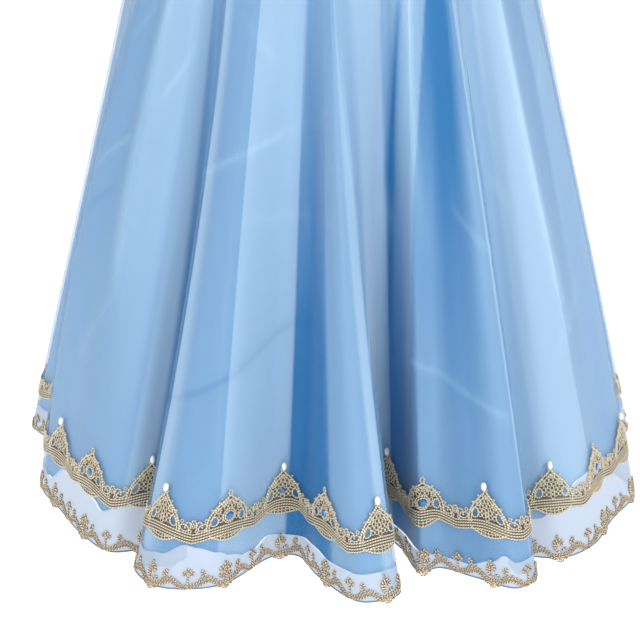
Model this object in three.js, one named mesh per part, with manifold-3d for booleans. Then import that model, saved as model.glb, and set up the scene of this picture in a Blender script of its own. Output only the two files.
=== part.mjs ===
// A full-length ballet dress, filled out as it is when worn: a close bodice on two narrow straps,
// a flared skirt of sheer organza that hangs in deep flutes over an opaque under-skirt,
// a gold lace band set with pearls and blue stones above the hem, and a gold lace edging on the hem.
// Millimetres. +Z is up, -Y is the front, and the origin is the middle of the waist.
import * as THREE from "three";
import { mergeVertices } from "three/addons/utils/BufferGeometryUtils.js";
import Module from "manifold-3d";

// ---- Driving dimensions ----------------------------------------------------------------------
const SKIRT_LENGTH = 950; // waist seam to hem
const HIP_DEPTH = 280; // the folds swing out from this far below the waist
const WAIST_HALF_WIDTH = 130;
const WAIST_HALF_DEPTH = 98;
const MOST_FULLNESS = 0.8; // of the skirt between waist and hip, 0 would be a straight cone
const LINING_SHORTER = 35; // the under-skirt ends this far above the hem

const CLOTH = 1.2; // thickness of organza and lining walls
const BODICE_WALL = 1.6;
const STRAP_WALL = 1.2;
const LACE_WALL = 1.2;
const SEAM_GAP = 0.3; // between pieces that are sewn together
const LACE_LIFT = 0.6; // between the organza and the lace on it
const LINING_INSET = 5; // middle of the organza to middle of the under-skirt
const LINING_TOP_INSET = CLOTH + SEAM_GAP; // the same, at the waist seam
const LINING_EASE = 120; // the under-skirt leaves the organza over this depth

const REPEATS = 36; // lace repeats round the hem, pearl and stone in turn
const COLUMNS_PER_REPEAT = 4;
const LACE_PER_COLUMN = 2; // lace columns in one cloth column
const FIRST_PEAK = 246; // cloth length from the first fold of the table to the first pearl

const PEARL = { radius: 3.3, halfHeight: 5.2, above: 118.5, sides: 6, rings: 3 };
const STONE = { radius: 5, table: 3.2, height: 2.6, above: 86, sides: 6 };

// ---- Tables ----------------------------------------------------------------------------------
// One row for each crest or hollow, from the left side round the front to the right and the back.
// hipAt and hemAt are degrees from the front, hipOut and hemOut are distances from the middle,
// swell is how early a fold swings out on its way down (negative: late).
const FOLD_COLUMNS = ["fold", "hipAt", "hipOut", "hemAt", "hemOut", "swell"];
const FOLDS = [
  ["left side-back crest", -86, 231, -104, 412, -0.12],
  ["left side hollow", -71, 229, -92, 348, 0.06],
  ["left front crest", -57, 247, -79.5, 374, 0.4],
  ["left front face", -50, 242, -67, 361, 0.35],
  ["left front ridge", -44, 243, -56.5, 360, 0.29],
  ["left front edge", -38, 239, -47.8, 355, 0.12],
  ["left hollow, outer", -35, 234, -43.4, 320, 0],
  ["left hollow, bottom", -32.5, 231, -38.2, 294, -0.06],
  ["left hollow, inner", -31, 232, -34.4, 304, -0.12],
  ["second crest, back", -29.5, 237, -35.8, 334, -0.14],
  ["second crest, edge", -27.8, 243, -40.2, 357, -0.16],
  ["second crest", -23.5, 248, -32.5, 376, -0.09],
  ["second face", -17.5, 246, -22.5, 342, 0.23],
  ["middle hollow, left", -9, 238, -15.5, 259, 0.12],
  ["middle hollow, right", -5, 232, -9.5, 251, 0.12],
  ["middle rise", -2.6, 238, -3, 296, 0],
  ["middle crest", -0.6, 247, 5.5, 353, 0],
  ["middle crest, edge", 1.5, 247, 13.2, 341, -0.06],
  ["middle crest, back", 6, 236, 11.4, 300, -0.06],
  ["deep hollow, left", 11, 226, 11.4, 246, 0],
  ["deep hollow, bottom", 14.5, 223, 16, 203, 0],
  ["deep hollow, right", 18, 229, 19.6, 244, 0],
  ["fourth face, ripple", 21, 236, 19.8, 303, -0.18],
  ["fourth face, dip", 25, 235, 24.5, 303, -0.06],
  ["fourth face, rise", 28, 241, 29, 339, 0.06],
  ["fourth crest", 30, 248, 33.4, 385, 0.14],
  ["fourth crest, edge", 32, 248, 38.4, 382, 0.18],
  ["fourth crest, back", 34.2, 241, 37.2, 352, 0.12],
  ["right hollow", 36.5, 235, 38.6, 333, 0.06],
  ["right front edge", 39.5, 237, 42.2, 338, 0.09],
  ["right front start", 42.5, 243, 47, 371, 0.14],
  ["right front ridge", 47, 246, 54, 383, 0.18],
  ["right front face", 54, 245, 65, 378, 0.18],
  ["right front crest", 61.5, 247, 76.5, 389, 0.18],
  ["right side hollow", 74, 230, 90.5, 347, 0.06],
  ["right side-back crest", 88, 231, 103.5, 405, -0.12],
  ["back hollow 1", 101, 230, 116, 328, 0],
  ["back crest 1", 112, 246, 128, 384, 0.12],
  ["back hollow 2", 125, 233, 140.5, 320, 0],
  ["back crest 2", 137, 248, 153, 388, 0.12],
  ["back hollow 3", 150, 235, 165, 324, 0],
  ["back crest 3", 162, 250, 176, 382, 0.12],
  ["back hollow 4", 174, 236, 188, 320, 0],
  ["back crest 4", 186, 250, 199, 390, 0.12],
  ["back hollow 5", 198, 235, 210.5, 325, 0],
  ["back crest 5", 210, 248, 221.5, 383, 0.12],
  ["back hollow 6", 222, 233, 232, 322, 0],
  ["back crest 6", 236, 246, 243, 386, 0.12],
  ["back hollow 7", 252, 232, 250.5, 332, 0],
];
// Both skirts are seamed at the sides and at the back, the under-skirt also on its left front.
const LEFT_SEAM_FOLD = "left side hollow";
const RIGHT_SEAM_FOLD = "right side hollow";
const BACK_SEAM_FOLD = "back hollow 4";
const LINING_SEAM_FOLD = "second face";

// Depths below the waist where the cloth walls have a section.
const SKIRT_SECTIONS = [0, 120, 280, 450, 640, 824, 894, SKIRT_LENGTH];
const LINING_SECTIONS = [0, 120, 280, 500, 740, SKIRT_LENGTH - LINING_SHORTER];

// The lace band across half a repeat: heights above the hem, from a peak (0) to a valley (1).
const BAND_SHAPE = [
  { from: 0, top: 117.5, middle: 91, bottom: 57 },
  { from: 0.25, top: 104, middle: 89, bottom: 59 },
  { from: 0.5, top: 86, middle: 76, bottom: 64 },
  { from: 0.75, top: 81, middle: 72, bottom: 58 },
  { from: 1, top: 86, middle: 72, bottom: 56 },
];
// The hem edging across the same half repeat: a loop and a sprig under each peak.
const EDGING_SHAPE = [
  { from: 0, top: 30, bottom: -5 },
  { from: 0.25, top: 13, bottom: 0 },
  { from: 0.5, top: 12, bottom: 2 },
  { from: 0.75, top: 14, bottom: 2 },
  { from: 1, top: 24, bottom: 2 },
];
// Cells of the band left open, counted in lace columns from a peak: the row, and the column.
const BAND_GAPS = [
  { row: "upper", column: 1 },
  { row: "upper", column: 3 },
  { row: "upper", column: 6 },
];

// Sections of the bodice on a general figure: half width, and half depth in front and behind.
const BODICE_SECTIONS = [
  { height: 0, halfWidth: 130, front: 98, back: 98 },
  { height: 60, halfWidth: 135, front: 103, back: 99 },
  { height: 115, halfWidth: 143, front: 112, back: 102 },
  { height: 165, halfWidth: 153, front: 133, back: 104 },
  { height: 210, halfWidth: 153, front: 130, back: 103 },
  { height: 260, halfWidth: 146, front: 112, back: 100 },
];
// Top edge of the bodice: height at each angle from the front.
const BODICE_TOP = [
  { at: 0, height: 205 },
  { at: 18, height: 226 },
  { at: 34, height: 240 },
  { at: 52, height: 222 },
  { at: 78, height: 176 },
  { at: 102, height: 168 },
  { at: 130, height: 186 },
  { at: 146, height: 196 },
  { at: 164, height: 176 },
  { at: 180, height: 168 },
];
const BODICE_COLUMNS = 18; // in each half
const BODICE_ROWS = 6;

const STRAP_WIDTH = 14;
const STRAP_TUCK = 12; // sewn this far down inside the bodice's top edge
const STRAP_CLEAR = 1.7; // between the strap's end and the bodice
const SHOULDER_CENTRE = 240; // height of the middle of the shoulder's curve
const SHOULDER_FACING = { x: 1 / 3, y: 1, z: 0.6 }; // how much each direction turns the strap's face
const STRAP_FRONT_AT = 34; // degrees from the front
const STRAP_BACK_AT = 146;
const STRAP_OVER = [
  { x: 88, y: -104, z: 285 },
  { x: 97, y: -70, z: 345 },
  { x: 104, y: -28, z: 384 },
  { x: 106, y: 12, z: 392 },
  { x: 101, y: 48, z: 362 },
  { x: 92, y: 76, z: 300 },
  { x: 80, y: 86, z: 240 },
];
const STRAP_STEPS = 20;

const MITRE_LIMIT = 1.2; // a section's corner never moves further than a 75 degree turn asks
const CURVE_STEPS = 48; // samples in each row of the fold table
const MERGE_WITHIN = 1e-3; // vertices this close are one
const PROBE = 0.5; // degrees or millimetres to each side when a direction is measured

// ---- Colours ---------------------------------------------------------------------------------
const organza = new THREE.MeshStandardMaterial({ color: 0xa9cbee, roughness: 0.45, metalness: 0 });
const under = new THREE.MeshStandardMaterial({ color: 0x86b4de, roughness: 0.6, metalness: 0 });
const satin = new THREE.MeshStandardMaterial({ color: 0x8fbbe4, roughness: 0.4, metalness: 0 });
const gold = new THREE.MeshStandardMaterial({ color: 0xc2a26c, roughness: 0.4, metalness: 0.5 });

// ---- Small helpers ---------------------------------------------------------------------------
const wasm = await Module();
wasm.setup();

const rad = THREE.MathUtils.degToRad;
const range = (count) => Array.from({ length: count }, (_, i) => i);

// Value of a column of a table at x, straight between its rows.
function readTable(table, key, column, x) {
  let i = 1;
  while (i < table.length - 1 && table[i][key] < x) i += 1;
  const a = table[i - 1];
  const b = table[i];
  const share = THREE.MathUtils.clamp((x - a[key]) / (b[key] - a[key]), 0, 1);
  return a[column] + (b[column] - a[column]) * share;
}

// The same through a smooth curve whose slope at a row is the mean of its two sides.
function readSmooth(table, key, column, x) {
  let i = 0;
  while (i < table.length - 2 && table[i + 1][key] < x) i += 1;
  const slope = (n) => {
    const before = table[Math.max(n - 1, 0)];
    const after = table[Math.min(n + 1, table.length - 1)];
    return (after[column] - before[column]) / (after[key] - before[key]);
  };
  const a = table[i];
  const b = table[i + 1];
  const width = b[key] - a[key];
  return hermite(a[column], b[column], slope(i) * width, slope(i + 1) * width, (x - a[key]) / width);
}

// Cubic between two values with the slopes at its ends, t from 0 to 1.
function hermite(a, b, slopeA, slopeB, t) {
  const t2 = t * t;
  const t3 = t2 * t;
  return (
    (2 * t3 - 3 * t2 + 1) * a + (t3 - 2 * t2 + t) * slopeA + (3 * t2 - 2 * t3) * b + (t3 - t2) * slopeB
  );
}

// ---- The skirt's surface ---------------------------------------------------------------------
// The fold table as a closed curve: each point holds the hem's place and the hip's angle,
// distance and swell, joined by cubics whose knots are the square roots of the distances.
function foldCurve() {
  const points = FOLDS.map((row) => {
    const fold = Object.fromEntries(row.map((value, i) => [FOLD_COLUMNS[i], value]));
    const at = rad(fold.hemAt);
    const hem = [fold.hemOut * Math.sin(at), -fold.hemOut * Math.cos(at)];
    return [...hem, rad(fold.hipAt), fold.hipOut, fold.swell];
  });
  const count = points.length;
  // The hip angle grows by one turn for each time round.
  const point = (i) => {
    const turns = Math.floor(i / count);
    return points[i - turns * count].map((v, c) => (c === 2 ? v + turns * 2 * Math.PI : v));
  };
  const knot = (i) => {
    const [a, b] = [point(i), point(i + 1)];
    return Math.sqrt(Math.hypot(b[0] - a[0], b[1] - a[1]));
  };
  const slope = (i, c) => {
    const [a, b, d] = [point(i - 1)[c], point(i)[c], point(i + 1)[c]];
    const [k0, k1] = [knot(i - 1), knot(i)];
    return (b - a) / k0 - (d - a) / (k0 + k1) + (d - b) / k1;
  };
  return (i, t) =>
    range(5).map((c) =>
      hermite(point(i)[c], point(i + 1)[c], slope(i, c) * knot(i), slope(i + 1, c) * knot(i), t),
    );
}

// The curve measured along the hem, so that a length of cloth gives a place on it.
const curve = foldCurve();
const samples = [];
range(FOLDS.length).forEach((i) =>
  range(CURVE_STEPS).forEach((j) => samples.push(curve(i, j / CURVE_STEPS))),
);
samples.push(samples[0].map((v, c) => (c === 2 ? v + 2 * Math.PI : v)));
const along = [0];
for (let i = 1; i < samples.length; i += 1) {
  const [a, b] = [samples[i - 1], samples[i]];
  along.push(along[i - 1] + Math.hypot(b[0] - a[0], b[1] - a[1]));
}
const HEM_LENGTH = along[along.length - 1];
const COLUMNS = REPEATS * COLUMNS_PER_REPEAT;
const COLUMN = HEM_LENGTH / COLUMNS;

// Where the cloth at a length along the hem lies: at the hem and at the hip.
function clothAt(length) {
  const turns = Math.floor(length / HEM_LENGTH);
  const rest = length - turns * HEM_LENGTH;
  let low = 0;
  let high = along.length - 1;
  while (high - low > 1) {
    const middle = (low + high) >> 1;
    if (along[middle] <= rest) low = middle;
    else high = middle;
  }
  const share = (rest - along[low]) / (along[high] - along[low]);
  const [x, y, hipAt, hipOut, swell] = samples[low].map((v, c) => v + (samples[high][c] - v) * share);
  const bare = Math.atan2(x, -y);
  const hemAt = bare - 2 * Math.PI * Math.round((bare - hipAt) / (2 * Math.PI));
  const turn = turns * 2 * Math.PI;
  return { hemAt: hemAt + turn, hemOut: Math.hypot(x, y), hipAt: hipAt + turn, hipOut, swell };
}

// Middle of the organza at a length along the hem and a depth below the waist. From the waist's
// ellipse to the hip it widens along one direction, as full as makes it run smoothly through the
// hip. From the hip to the hem both the direction and the distance go from the hip's to the
// hem's, early or late by the swell.
function clothPoint(length, depth) {
  const { hemAt, hemOut, hipAt, hipOut, swell } = clothAt(length);
  const waist = 1 / Math.hypot(Math.sin(hipAt) / WAIST_HALF_WIDTH, Math.cos(hipAt) / WAIST_HALF_DEPTH);
  const down = Math.min(depth / HIP_DEPTH, 1);
  const fall = Math.max((depth - HIP_DEPTH) / (SKIRT_LENGTH - HIP_DEPTH), 0);
  const swing = fall + swell * fall * (1 - fall);
  const slope = ((hemOut - hipOut) * (1 + swell)) / (SKIRT_LENGTH - HIP_DEPTH);
  const fullness = THREE.MathUtils.clamp(1 - (slope * HIP_DEPTH) / (hipOut - waist), 0, MOST_FULLNESS);
  const upper = waist + (hipOut - waist) * (down + fullness * down * (1 - down));
  const out = depth < HIP_DEPTH ? upper : hipOut + (hemOut - hipOut) * swing;
  const at = hipAt + (hemAt - hipAt) * swing;
  return new THREE.Vector3(out * Math.sin(at), -out * Math.cos(at), -depth);
}

// The level vector that moves a corner of a section out by 1 mm of cloth: square to the mean of
// its two sides, and longer at a sharp corner, so that the moved sides stay parallel.
function mitre(before, point, after) {
  const side = (a, b) => new THREE.Vector3(b.y - a.y, a.x - b.x, 0).normalize();
  const sum = side(before, point).add(side(point, after));
  return sum.multiplyScalar(2 / Math.max(sum.lengthSq(), MITRE_LIMIT));
}

// ---- Walls -----------------------------------------------------------------------------------
// A closed wall between an outer and an inner grid of points, [row][column], rows from the top.
// isOpen(row, column) leaves a cell out and closes the wall round it.
function gridWall(outer, inner, isOpen = () => false) {
  const rows = outer.length;
  const columns = outer[0].length;
  const index = (side, row, column) => (side * rows + row) * columns + column;
  const filled = (row, column) =>
    row >= 0 && row < rows - 1 && column >= 0 && column < columns - 1 && !isOpen(row, column);
  const positions = [outer, inner].flatMap((side) => side.flatMap((row) => row.flatMap((p) => p.toArray())));
  const faces = [];
  const quad = (a, b, c, d) => faces.push(a, b, c, a, c, d);
  for (let r = 0; r < rows - 1; r += 1) {
    for (let c = 0; c < columns - 1; c += 1) {
      if (!filled(r, c)) continue;
      const o = [index(0, r, c), index(0, r + 1, c), index(0, r + 1, c + 1), index(0, r, c + 1)];
      const i = [index(1, r, c), index(1, r + 1, c), index(1, r + 1, c + 1), index(1, r, c + 1)];
      quad(o[0], o[1], o[2], o[3]);
      faces.push(i[0], i[2], i[1], i[0], i[3], i[2]);
      if (!filled(r, c - 1)) quad(i[0], i[1], o[1], o[0]);
      if (!filled(r, c + 1)) quad(o[3], o[2], i[2], i[3]);
      if (!filled(r - 1, c)) quad(o[0], o[3], i[3], i[0]);
      if (!filled(r + 1, c)) quad(o[2], o[1], i[1], i[2]);
    }
  }
  const geometry = new THREE.BufferGeometry();
  geometry.setAttribute("position", new THREE.BufferAttribute(new Float32Array(positions), 3));
  geometry.setIndex(faces);
  return oneSkin(geometry);
}

// One vertex for each place, and none that no face uses.
function oneSkin(geometry) {
  geometry.deleteAttribute("normal");
  geometry.deleteAttribute("uv");
  return mergeVertices(geometry, MERGE_WITHIN);
}

function toSolid(geometry) {
  return new wasm.Manifold(
    new wasm.Mesh({
      numProp: 3,
      vertProperties: new Float32Array(geometry.getAttribute("position").array),
      triVerts: new Uint32Array(geometry.index.array),
    }),
  );
}

function fromSolid(solid) {
  const mesh = solid.getMesh();
  const geometry = new THREE.BufferGeometry();
  geometry.setAttribute("position", new THREE.BufferAttribute(new Float32Array(mesh.vertProperties), 3));
  geometry.setIndex(Array.from(mesh.triVerts));
  return geometry;
}

// ---- Skirt panels ----------------------------------------------------------------------------
// A panel is the cloth between two seams. Everything on it is made from its points.
function nearestColumn(foldName) {
  const row = FOLDS.findIndex(([name]) => name === foldName);
  return Math.round((along[row * CURVE_STEPS] - FIRST_PEAK) / COLUMN);
}

function stepTowards(point, target, distance) {
  point.addScaledVector(target.clone().sub(point).normalize(), distance);
}

function makePanel(firstColumn, lastColumn) {
  const count = lastColumn - firstColumn + 1;
  const section = (depth) => {
    const points = range(count + 2).map((i) =>
      clothPoint(FIRST_PEAK + (firstColumn + i - 1) * COLUMN, depth),
    );
    const made = range(count).map((i) => ({
      point: points[i + 1].clone(),
      out: mitre(points[i], points[i + 1], points[i + 2]),
    }));
    // Each end stops half a seam gap short of the seam line.
    stepTowards(made[0].point, points[2], SEAM_GAP / 2);
    stepTowards(made[count - 1].point, points[count - 1], SEAM_GAP / 2);
    return made;
  };
  return { firstColumn, count, section, grid: SKIRT_SECTIONS.map(section) };
}

// A section moved out by a distance, or in by a negative one.
function moved(section, distance) {
  return section.map(({ point, out }) => point.clone().addScaledVector(out, distance));
}

// The panel's own flat facets between its sections: column is counted in cloth columns and may
// lie between two of them, and depth may reach a little below the hem.
function onPanel(panel, column, depth) {
  const last = panel.count - 2;
  const c = Math.min(Math.floor(column), last);
  let r = SKIRT_SECTIONS.length - 2;
  while (SKIRT_SECTIONS[r] > depth) r -= 1;
  const a = column - c;
  const b = (depth - SKIRT_SECTIONS[r]) / (SKIRT_SECTIONS[r + 1] - SKIRT_SECTIONS[r]);
  const corner = (dr, dc) => panel.grid[r + dr][c + dc];
  const blend = (key) => {
    const start = corner(0, 0)[key];
    const far = corner(1, 1)[key];
    const side = a > b ? corner(0, 1)[key] : corner(1, 0)[key];
    return start
      .clone()
      .addScaledVector(side.clone().sub(start), Math.max(a, b))
      .addScaledVector(far.clone().sub(side), Math.min(a, b));
  };
  return { point: blend("point"), out: blend("out") };
}

function skirtPiece(panel) {
  const outer = panel.grid.map((section) => moved(section, CLOTH / 2));
  const inner = panel.grid.map((section) => moved(section, -CLOTH / 2));
  return gridWall(dropToSeam(outer), dropToSeam(inner));
}

// The top section lies half a seam gap below the waist line.
function dropToSeam(grid) {
  const [top, ...rest] = grid;
  return [top.map((p) => new THREE.Vector3(p.x, p.y, -SEAM_GAP)), ...rest];
}

function liningPiece(panel) {
  const inset = (depth) =>
    THREE.MathUtils.lerp(LINING_TOP_INSET, LINING_INSET, Math.min(depth / LINING_EASE, 1));
  const side = (shift) =>
    LINING_SECTIONS.map((depth) => moved(panel.section(depth), shift - inset(depth)));
  return gridWall(dropToSeam(side(CLOTH / 2)), dropToSeam(side(-CLOTH / 2)));
}

// ---- Lace on the panels ----------------------------------------------------------------------
const LACE_PER_REPEAT = COLUMNS_PER_REPEAT * LACE_PER_COLUMN;

// Lace columns of a panel, each with its place in the repeat: 0 at a peak, 1 at a valley.
function laceColumns(panel) {
  const count = (panel.count - 1) * LACE_PER_COLUMN + 1;
  return range(count).map((i) => {
    const number = panel.firstColumn * LACE_PER_COLUMN + i;
    const step = ((number % LACE_PER_REPEAT) + LACE_PER_REPEAT) % LACE_PER_REPEAT;
    const repeat = Math.round((number - step) / LACE_PER_REPEAT);
    const from = (Math.min(step, LACE_PER_REPEAT - step) * 2) / LACE_PER_REPEAT;
    return { column: i / LACE_PER_COLUMN, step, repeat, from };
  });
}

function laceWall(panel, shape, lines, isOpen) {
  const columns = laceColumns(panel);
  const side = (lift) =>
    lines.map((line) =>
      columns.map(({ column, from }) => {
        const depth = SKIRT_LENGTH - readTable(shape, "from", line, from);
        const { point, out } = onPanel(panel, column, depth);
        return point.addScaledVector(out, lift);
      }),
    );
  const lift = CLOTH / 2 + LACE_LIFT;
  return gridWall(side(lift + LACE_WALL), side(lift), isOpen);
}

function edgingPiece(panel) {
  return laceWall(panel, EDGING_SHAPE, ["top", "bottom"]);
}

// A bead's frame on the panel. Its middle stands off the cloth by a distance that depends on the
// slope of the cloth's sides, which is 0 where the cloth is flat or bends away.
function beadMatrix(panel, column, above, standOffAt) {
  const { point, out } = onPanel(panel, column, SKIRT_LENGTH - above);
  const before = onPanel(panel, column - 1, SKIRT_LENGTH - above).point;
  const after = onPanel(panel, column + 1, SKIRT_LENGTH - above).point;
  const rise = before.clone().add(after).multiplyScalar(0.5).sub(point).dot(out) / out.length();
  const slope = Math.max(rise, 0) / (before.distanceTo(after) / 2);
  const higher = onPanel(panel, column, SKIRT_LENGTH - above - 1).point;
  const up = higher.sub(point).normalize();
  const across = up.clone().cross(out).normalize();
  const normal = across.clone().cross(up);
  const place = point.clone().addScaledVector(normal, standOffAt(slope));
  return new THREE.Matrix4().makeBasis(across, up, normal).setPosition(place);
}

function pearlAt(panel, column) {
  const pearl = new THREE.SphereGeometry(1, PEARL.sides, PEARL.rings);
  pearl.scale(PEARL.radius, PEARL.halfHeight, PEARL.radius);
  // A ball in a groove rides up until it touches both sides.
  const standOffAt = (slope) => CLOTH / 2 + LACE_LIFT + PEARL.radius * Math.hypot(1, slope);
  pearl.applyMatrix4(beadMatrix(panel, column, PEARL.above, standOffAt));
  return toSolid(oneSkin(pearl));
}

function stoneAt(panel, column) {
  const stone = new THREE.CylinderGeometry(STONE.table, STONE.radius, STONE.height, STONE.sides);
  stone.rotateX(Math.PI / 2);
  // A flat stone in a groove rides up until its rim clears both sides.
  const base = CLOTH / 2 + LACE_LIFT + LACE_WALL / 2 + STONE.height / 2;
  const standOffAt = (slope) => base + STONE.radius * slope;
  stone.applyMatrix4(beadMatrix(panel, column, STONE.above, standOffAt));
  return toSolid(oneSkin(stone));
}

function bandPiece(panel) {
  const columns = laceColumns(panel);
  const isOpen = (row, column) =>
    column > 0 &&
    column < columns.length - 2 &&
    BAND_GAPS.some((gap) => (gap.row === "upper") === (row === 0) && gap.column === columns[column].step);
  let solid = toSolid(laceWall(panel, BAND_SHAPE, ["top", "middle", "bottom"], isOpen));
  columns.slice(1, -1).forEach(({ column, step, repeat }) => {
    if (step !== 0) return;
    solid = solid.add(repeat % 2 === 0 ? pearlAt(panel, column) : stoneAt(panel, column));
  });
  return fromSolid(solid);
}

// ---- Bodice and straps -----------------------------------------------------------------------
// Middle of the bodice's wall at an angle from the front and a height above the waist.
function bodicePoint(at, height) {
  const turn = Math.abs(at) > 90 ? "back" : "front";
  const halfWidth = readSmooth(BODICE_SECTIONS, "height", "halfWidth", height);
  const halfDepth = readSmooth(BODICE_SECTIONS, "height", turn, height);
  const a = rad(at);
  const out = 1 / Math.hypot(Math.sin(a) / halfWidth, Math.cos(a) / halfDepth);
  return new THREE.Vector3(out * Math.sin(a), -out * Math.cos(a), height);
}

function bodiceNormal(at, height) {
  const across = bodicePoint(at + PROBE, height).sub(bodicePoint(at - PROBE, height));
  const up = bodicePoint(at, height + PROBE).sub(bodicePoint(at, Math.max(height - PROBE, 0)));
  return across.cross(up).normalize();
}

function bodiceTop(at) {
  const folded = Math.abs(((((at + 180) % 360) + 360) % 360) - 180);
  return readSmooth(BODICE_TOP, "at", "height", folded);
}

function bodicePiece(from, to) {
  const gapAngle = THREE.MathUtils.radToDeg(SEAM_GAP / 2 / WAIST_HALF_WIDTH);
  const angles = range(BODICE_COLUMNS + 1).map((i) =>
    THREE.MathUtils.lerp(from + gapAngle, to - gapAngle, i / BODICE_COLUMNS),
  );
  const side = (shift) =>
    range(BODICE_ROWS + 1).map((r) =>
      angles.map((at) => {
        const height = bodiceTop(at) * (1 - r / BODICE_ROWS);
        const wrapped = at > 180 ? at - 360 : at;
        return bodicePoint(wrapped, height).addScaledVector(bodiceNormal(wrapped, height), shift);
      }),
    );
  return gridWall(side(BODICE_WALL / 2), side(-BODICE_WALL / 2));
}

// A strap runs from inside the front's top edge over the shoulder to inside the back's.
function strapPiece(mirror) {
  const inside = -(BODICE_WALL / 2 + STRAP_CLEAR + STRAP_WALL / 2);
  const tucked = (at, below) => {
    const height = bodiceTop(at) - below;
    const normal = bodiceNormal(at, height);
    return { point: bodicePoint(at, height).addScaledVector(normal, inside), normal };
  };
  const over = STRAP_OVER.map(({ x, y, z }) => ({
    point: new THREE.Vector3(x, y, z),
    normal: new THREE.Vector3(x, y, z - SHOULDER_CENTRE).multiply(SHOULDER_FACING).normalize(),
  }));
  const stops = [
    tucked(STRAP_FRONT_AT, STRAP_TUCK),
    tucked(STRAP_FRONT_AT, 0),
    ...over,
    tucked(STRAP_BACK_AT, 0),
    tucked(STRAP_BACK_AT, STRAP_TUCK),
  ];
  const path = new THREE.CatmullRomCurve3(stops.map((stop) => stop.point));
  const facing = new THREE.CatmullRomCurve3(stops.map((stop) => stop.normal));
  const frames = range(STRAP_STEPS + 1).map((i) => {
    const share = i / STRAP_STEPS;
    const tangent = path.getTangent(share);
    const across = tangent.clone().cross(facing.getPoint(share)).normalize();
    return { point: path.getPoint(share), across, normal: across.clone().cross(tangent).normalize() };
  });
  const side = (shift) =>
    [1, -1].map((edge) =>
      frames.map(({ point, across, normal }) => {
        const p = point.clone().addScaledVector(across, (edge * STRAP_WIDTH) / 2);
        return p.addScaledVector(normal, shift).multiply(new THREE.Vector3(mirror, 1, 1));
      }),
    );
  const [outer, inner] = [side(STRAP_WALL / 2), side(-STRAP_WALL / 2)];
  return mirror > 0 ? gridWall(outer.reverse(), inner.reverse()) : gridWall(outer, inner);
}

// ---- The dress -------------------------------------------------------------------------------
const dress = new THREE.Group();
function addPiece(name, geometry, material) {
  geometry.computeVertexNormals();
  const mesh = new THREE.Mesh(geometry, material);
  mesh.name = name;
  dress.add(mesh);
}

const leftSeam = nearestColumn(LEFT_SEAM_FOLD);
const liningSeam = nearestColumn(LINING_SEAM_FOLD);
const rightSeam = nearestColumn(RIGHT_SEAM_FOLD);
const backSeam = nearestColumn(BACK_SEAM_FOLD);
const around = leftSeam + COLUMNS; // the left seam again, once round the hem
const skirtPanels = {
  front: makePanel(leftSeam, rightSeam),
  back_right: makePanel(rightSeam, backSeam),
  back_left: makePanel(backSeam, around),
};
const liningPanels = {
  front_left: makePanel(leftSeam, liningSeam),
  front_right: makePanel(liningSeam, rightSeam),
  back_right: skirtPanels.back_right,
  back_left: skirtPanels.back_left,
};
const lacePanels = { front: skirtPanels.front, back: makePanel(rightSeam, around) };
Object.entries(skirtPanels).forEach(([side, panel]) => {
  addPiece(`skirt_${side}`, skirtPiece(panel), organza);
});
Object.entries(liningPanels).forEach(([side, panel]) => {
  addPiece(`lining_${side}`, liningPiece(panel), under);
});
Object.entries(lacePanels).forEach(([side, panel]) => {
  addPiece(`band_${side}`, bandPiece(panel), gold);
  addPiece(`edging_${side}`, edgingPiece(panel), gold);
});
addPiece("bodice_front", bodicePiece(-90, 90), satin);
addPiece("bodice_back", bodicePiece(90, 270), satin);
addPiece("strap_left", strapPiece(-1), satin);
addPiece("strap_right", strapPiece(1), satin);

export default dress;
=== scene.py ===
# %% [markdown]
# # A ballet dress
# A full-length stage dress, filled out as if it were worn: a close bodice on two straps, a skirt
# of sheer organza in deep flutes over an opaque under-skirt, and gold lace set with pearls and
# stones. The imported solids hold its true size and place. This lesson makes the cloth, the lace
# and the light around them. It starts by loading those solids as a fixed frame.

# %% Load the frame
import math
import bpy
import numpy as np
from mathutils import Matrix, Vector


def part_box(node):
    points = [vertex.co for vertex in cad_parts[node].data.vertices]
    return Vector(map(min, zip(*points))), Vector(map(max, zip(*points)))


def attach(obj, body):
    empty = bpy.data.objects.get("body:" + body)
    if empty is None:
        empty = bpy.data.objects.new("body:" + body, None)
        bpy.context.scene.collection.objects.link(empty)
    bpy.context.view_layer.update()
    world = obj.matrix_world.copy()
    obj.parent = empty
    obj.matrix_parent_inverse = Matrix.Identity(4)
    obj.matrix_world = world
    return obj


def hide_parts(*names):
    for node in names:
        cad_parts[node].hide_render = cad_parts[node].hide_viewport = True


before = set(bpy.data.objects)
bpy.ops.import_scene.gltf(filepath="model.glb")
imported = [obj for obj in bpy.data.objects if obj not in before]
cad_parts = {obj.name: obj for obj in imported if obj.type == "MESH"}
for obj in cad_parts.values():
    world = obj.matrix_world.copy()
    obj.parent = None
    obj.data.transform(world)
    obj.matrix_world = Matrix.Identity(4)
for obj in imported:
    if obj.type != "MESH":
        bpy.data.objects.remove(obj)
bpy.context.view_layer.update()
print("nodes:", ", ".join(sorted(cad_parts)))

# %% [markdown]
# ## Sizes
# Lengths are in metres, apart from the tables and drawings in millimetres that say so. The skirt's
# length comes from the frame, and the rest are sizes that a maker would write on the pattern:
# where the hip is, how wide the waist is, how far in the under-skirt lies, and how many motifs
# the lace has round the hem. They are named here once, because cloth and lace all use them.

# %% Sizes
MM = 0.001
SKIRT = -round(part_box("skirt_front")[0].z, 3)
HIP = 0.280
WAIST_HALF_WIDTH = 0.130
WAIST_HALF_DEPTH = 0.098
MOST_FULLNESS = 0.8
LINING_INSET = 0.0035
LINING_TOP_INSET = 0.0015
LINING_EASE = 0.120
REPEATS = 36
# one repeat of the lace as it is drawn, in millimetres
DRAWN_REPEAT = 91
FIRST_PEAK = 0.246
print(f"skirt {SKIRT:.3f} m from waist to hem")

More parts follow.
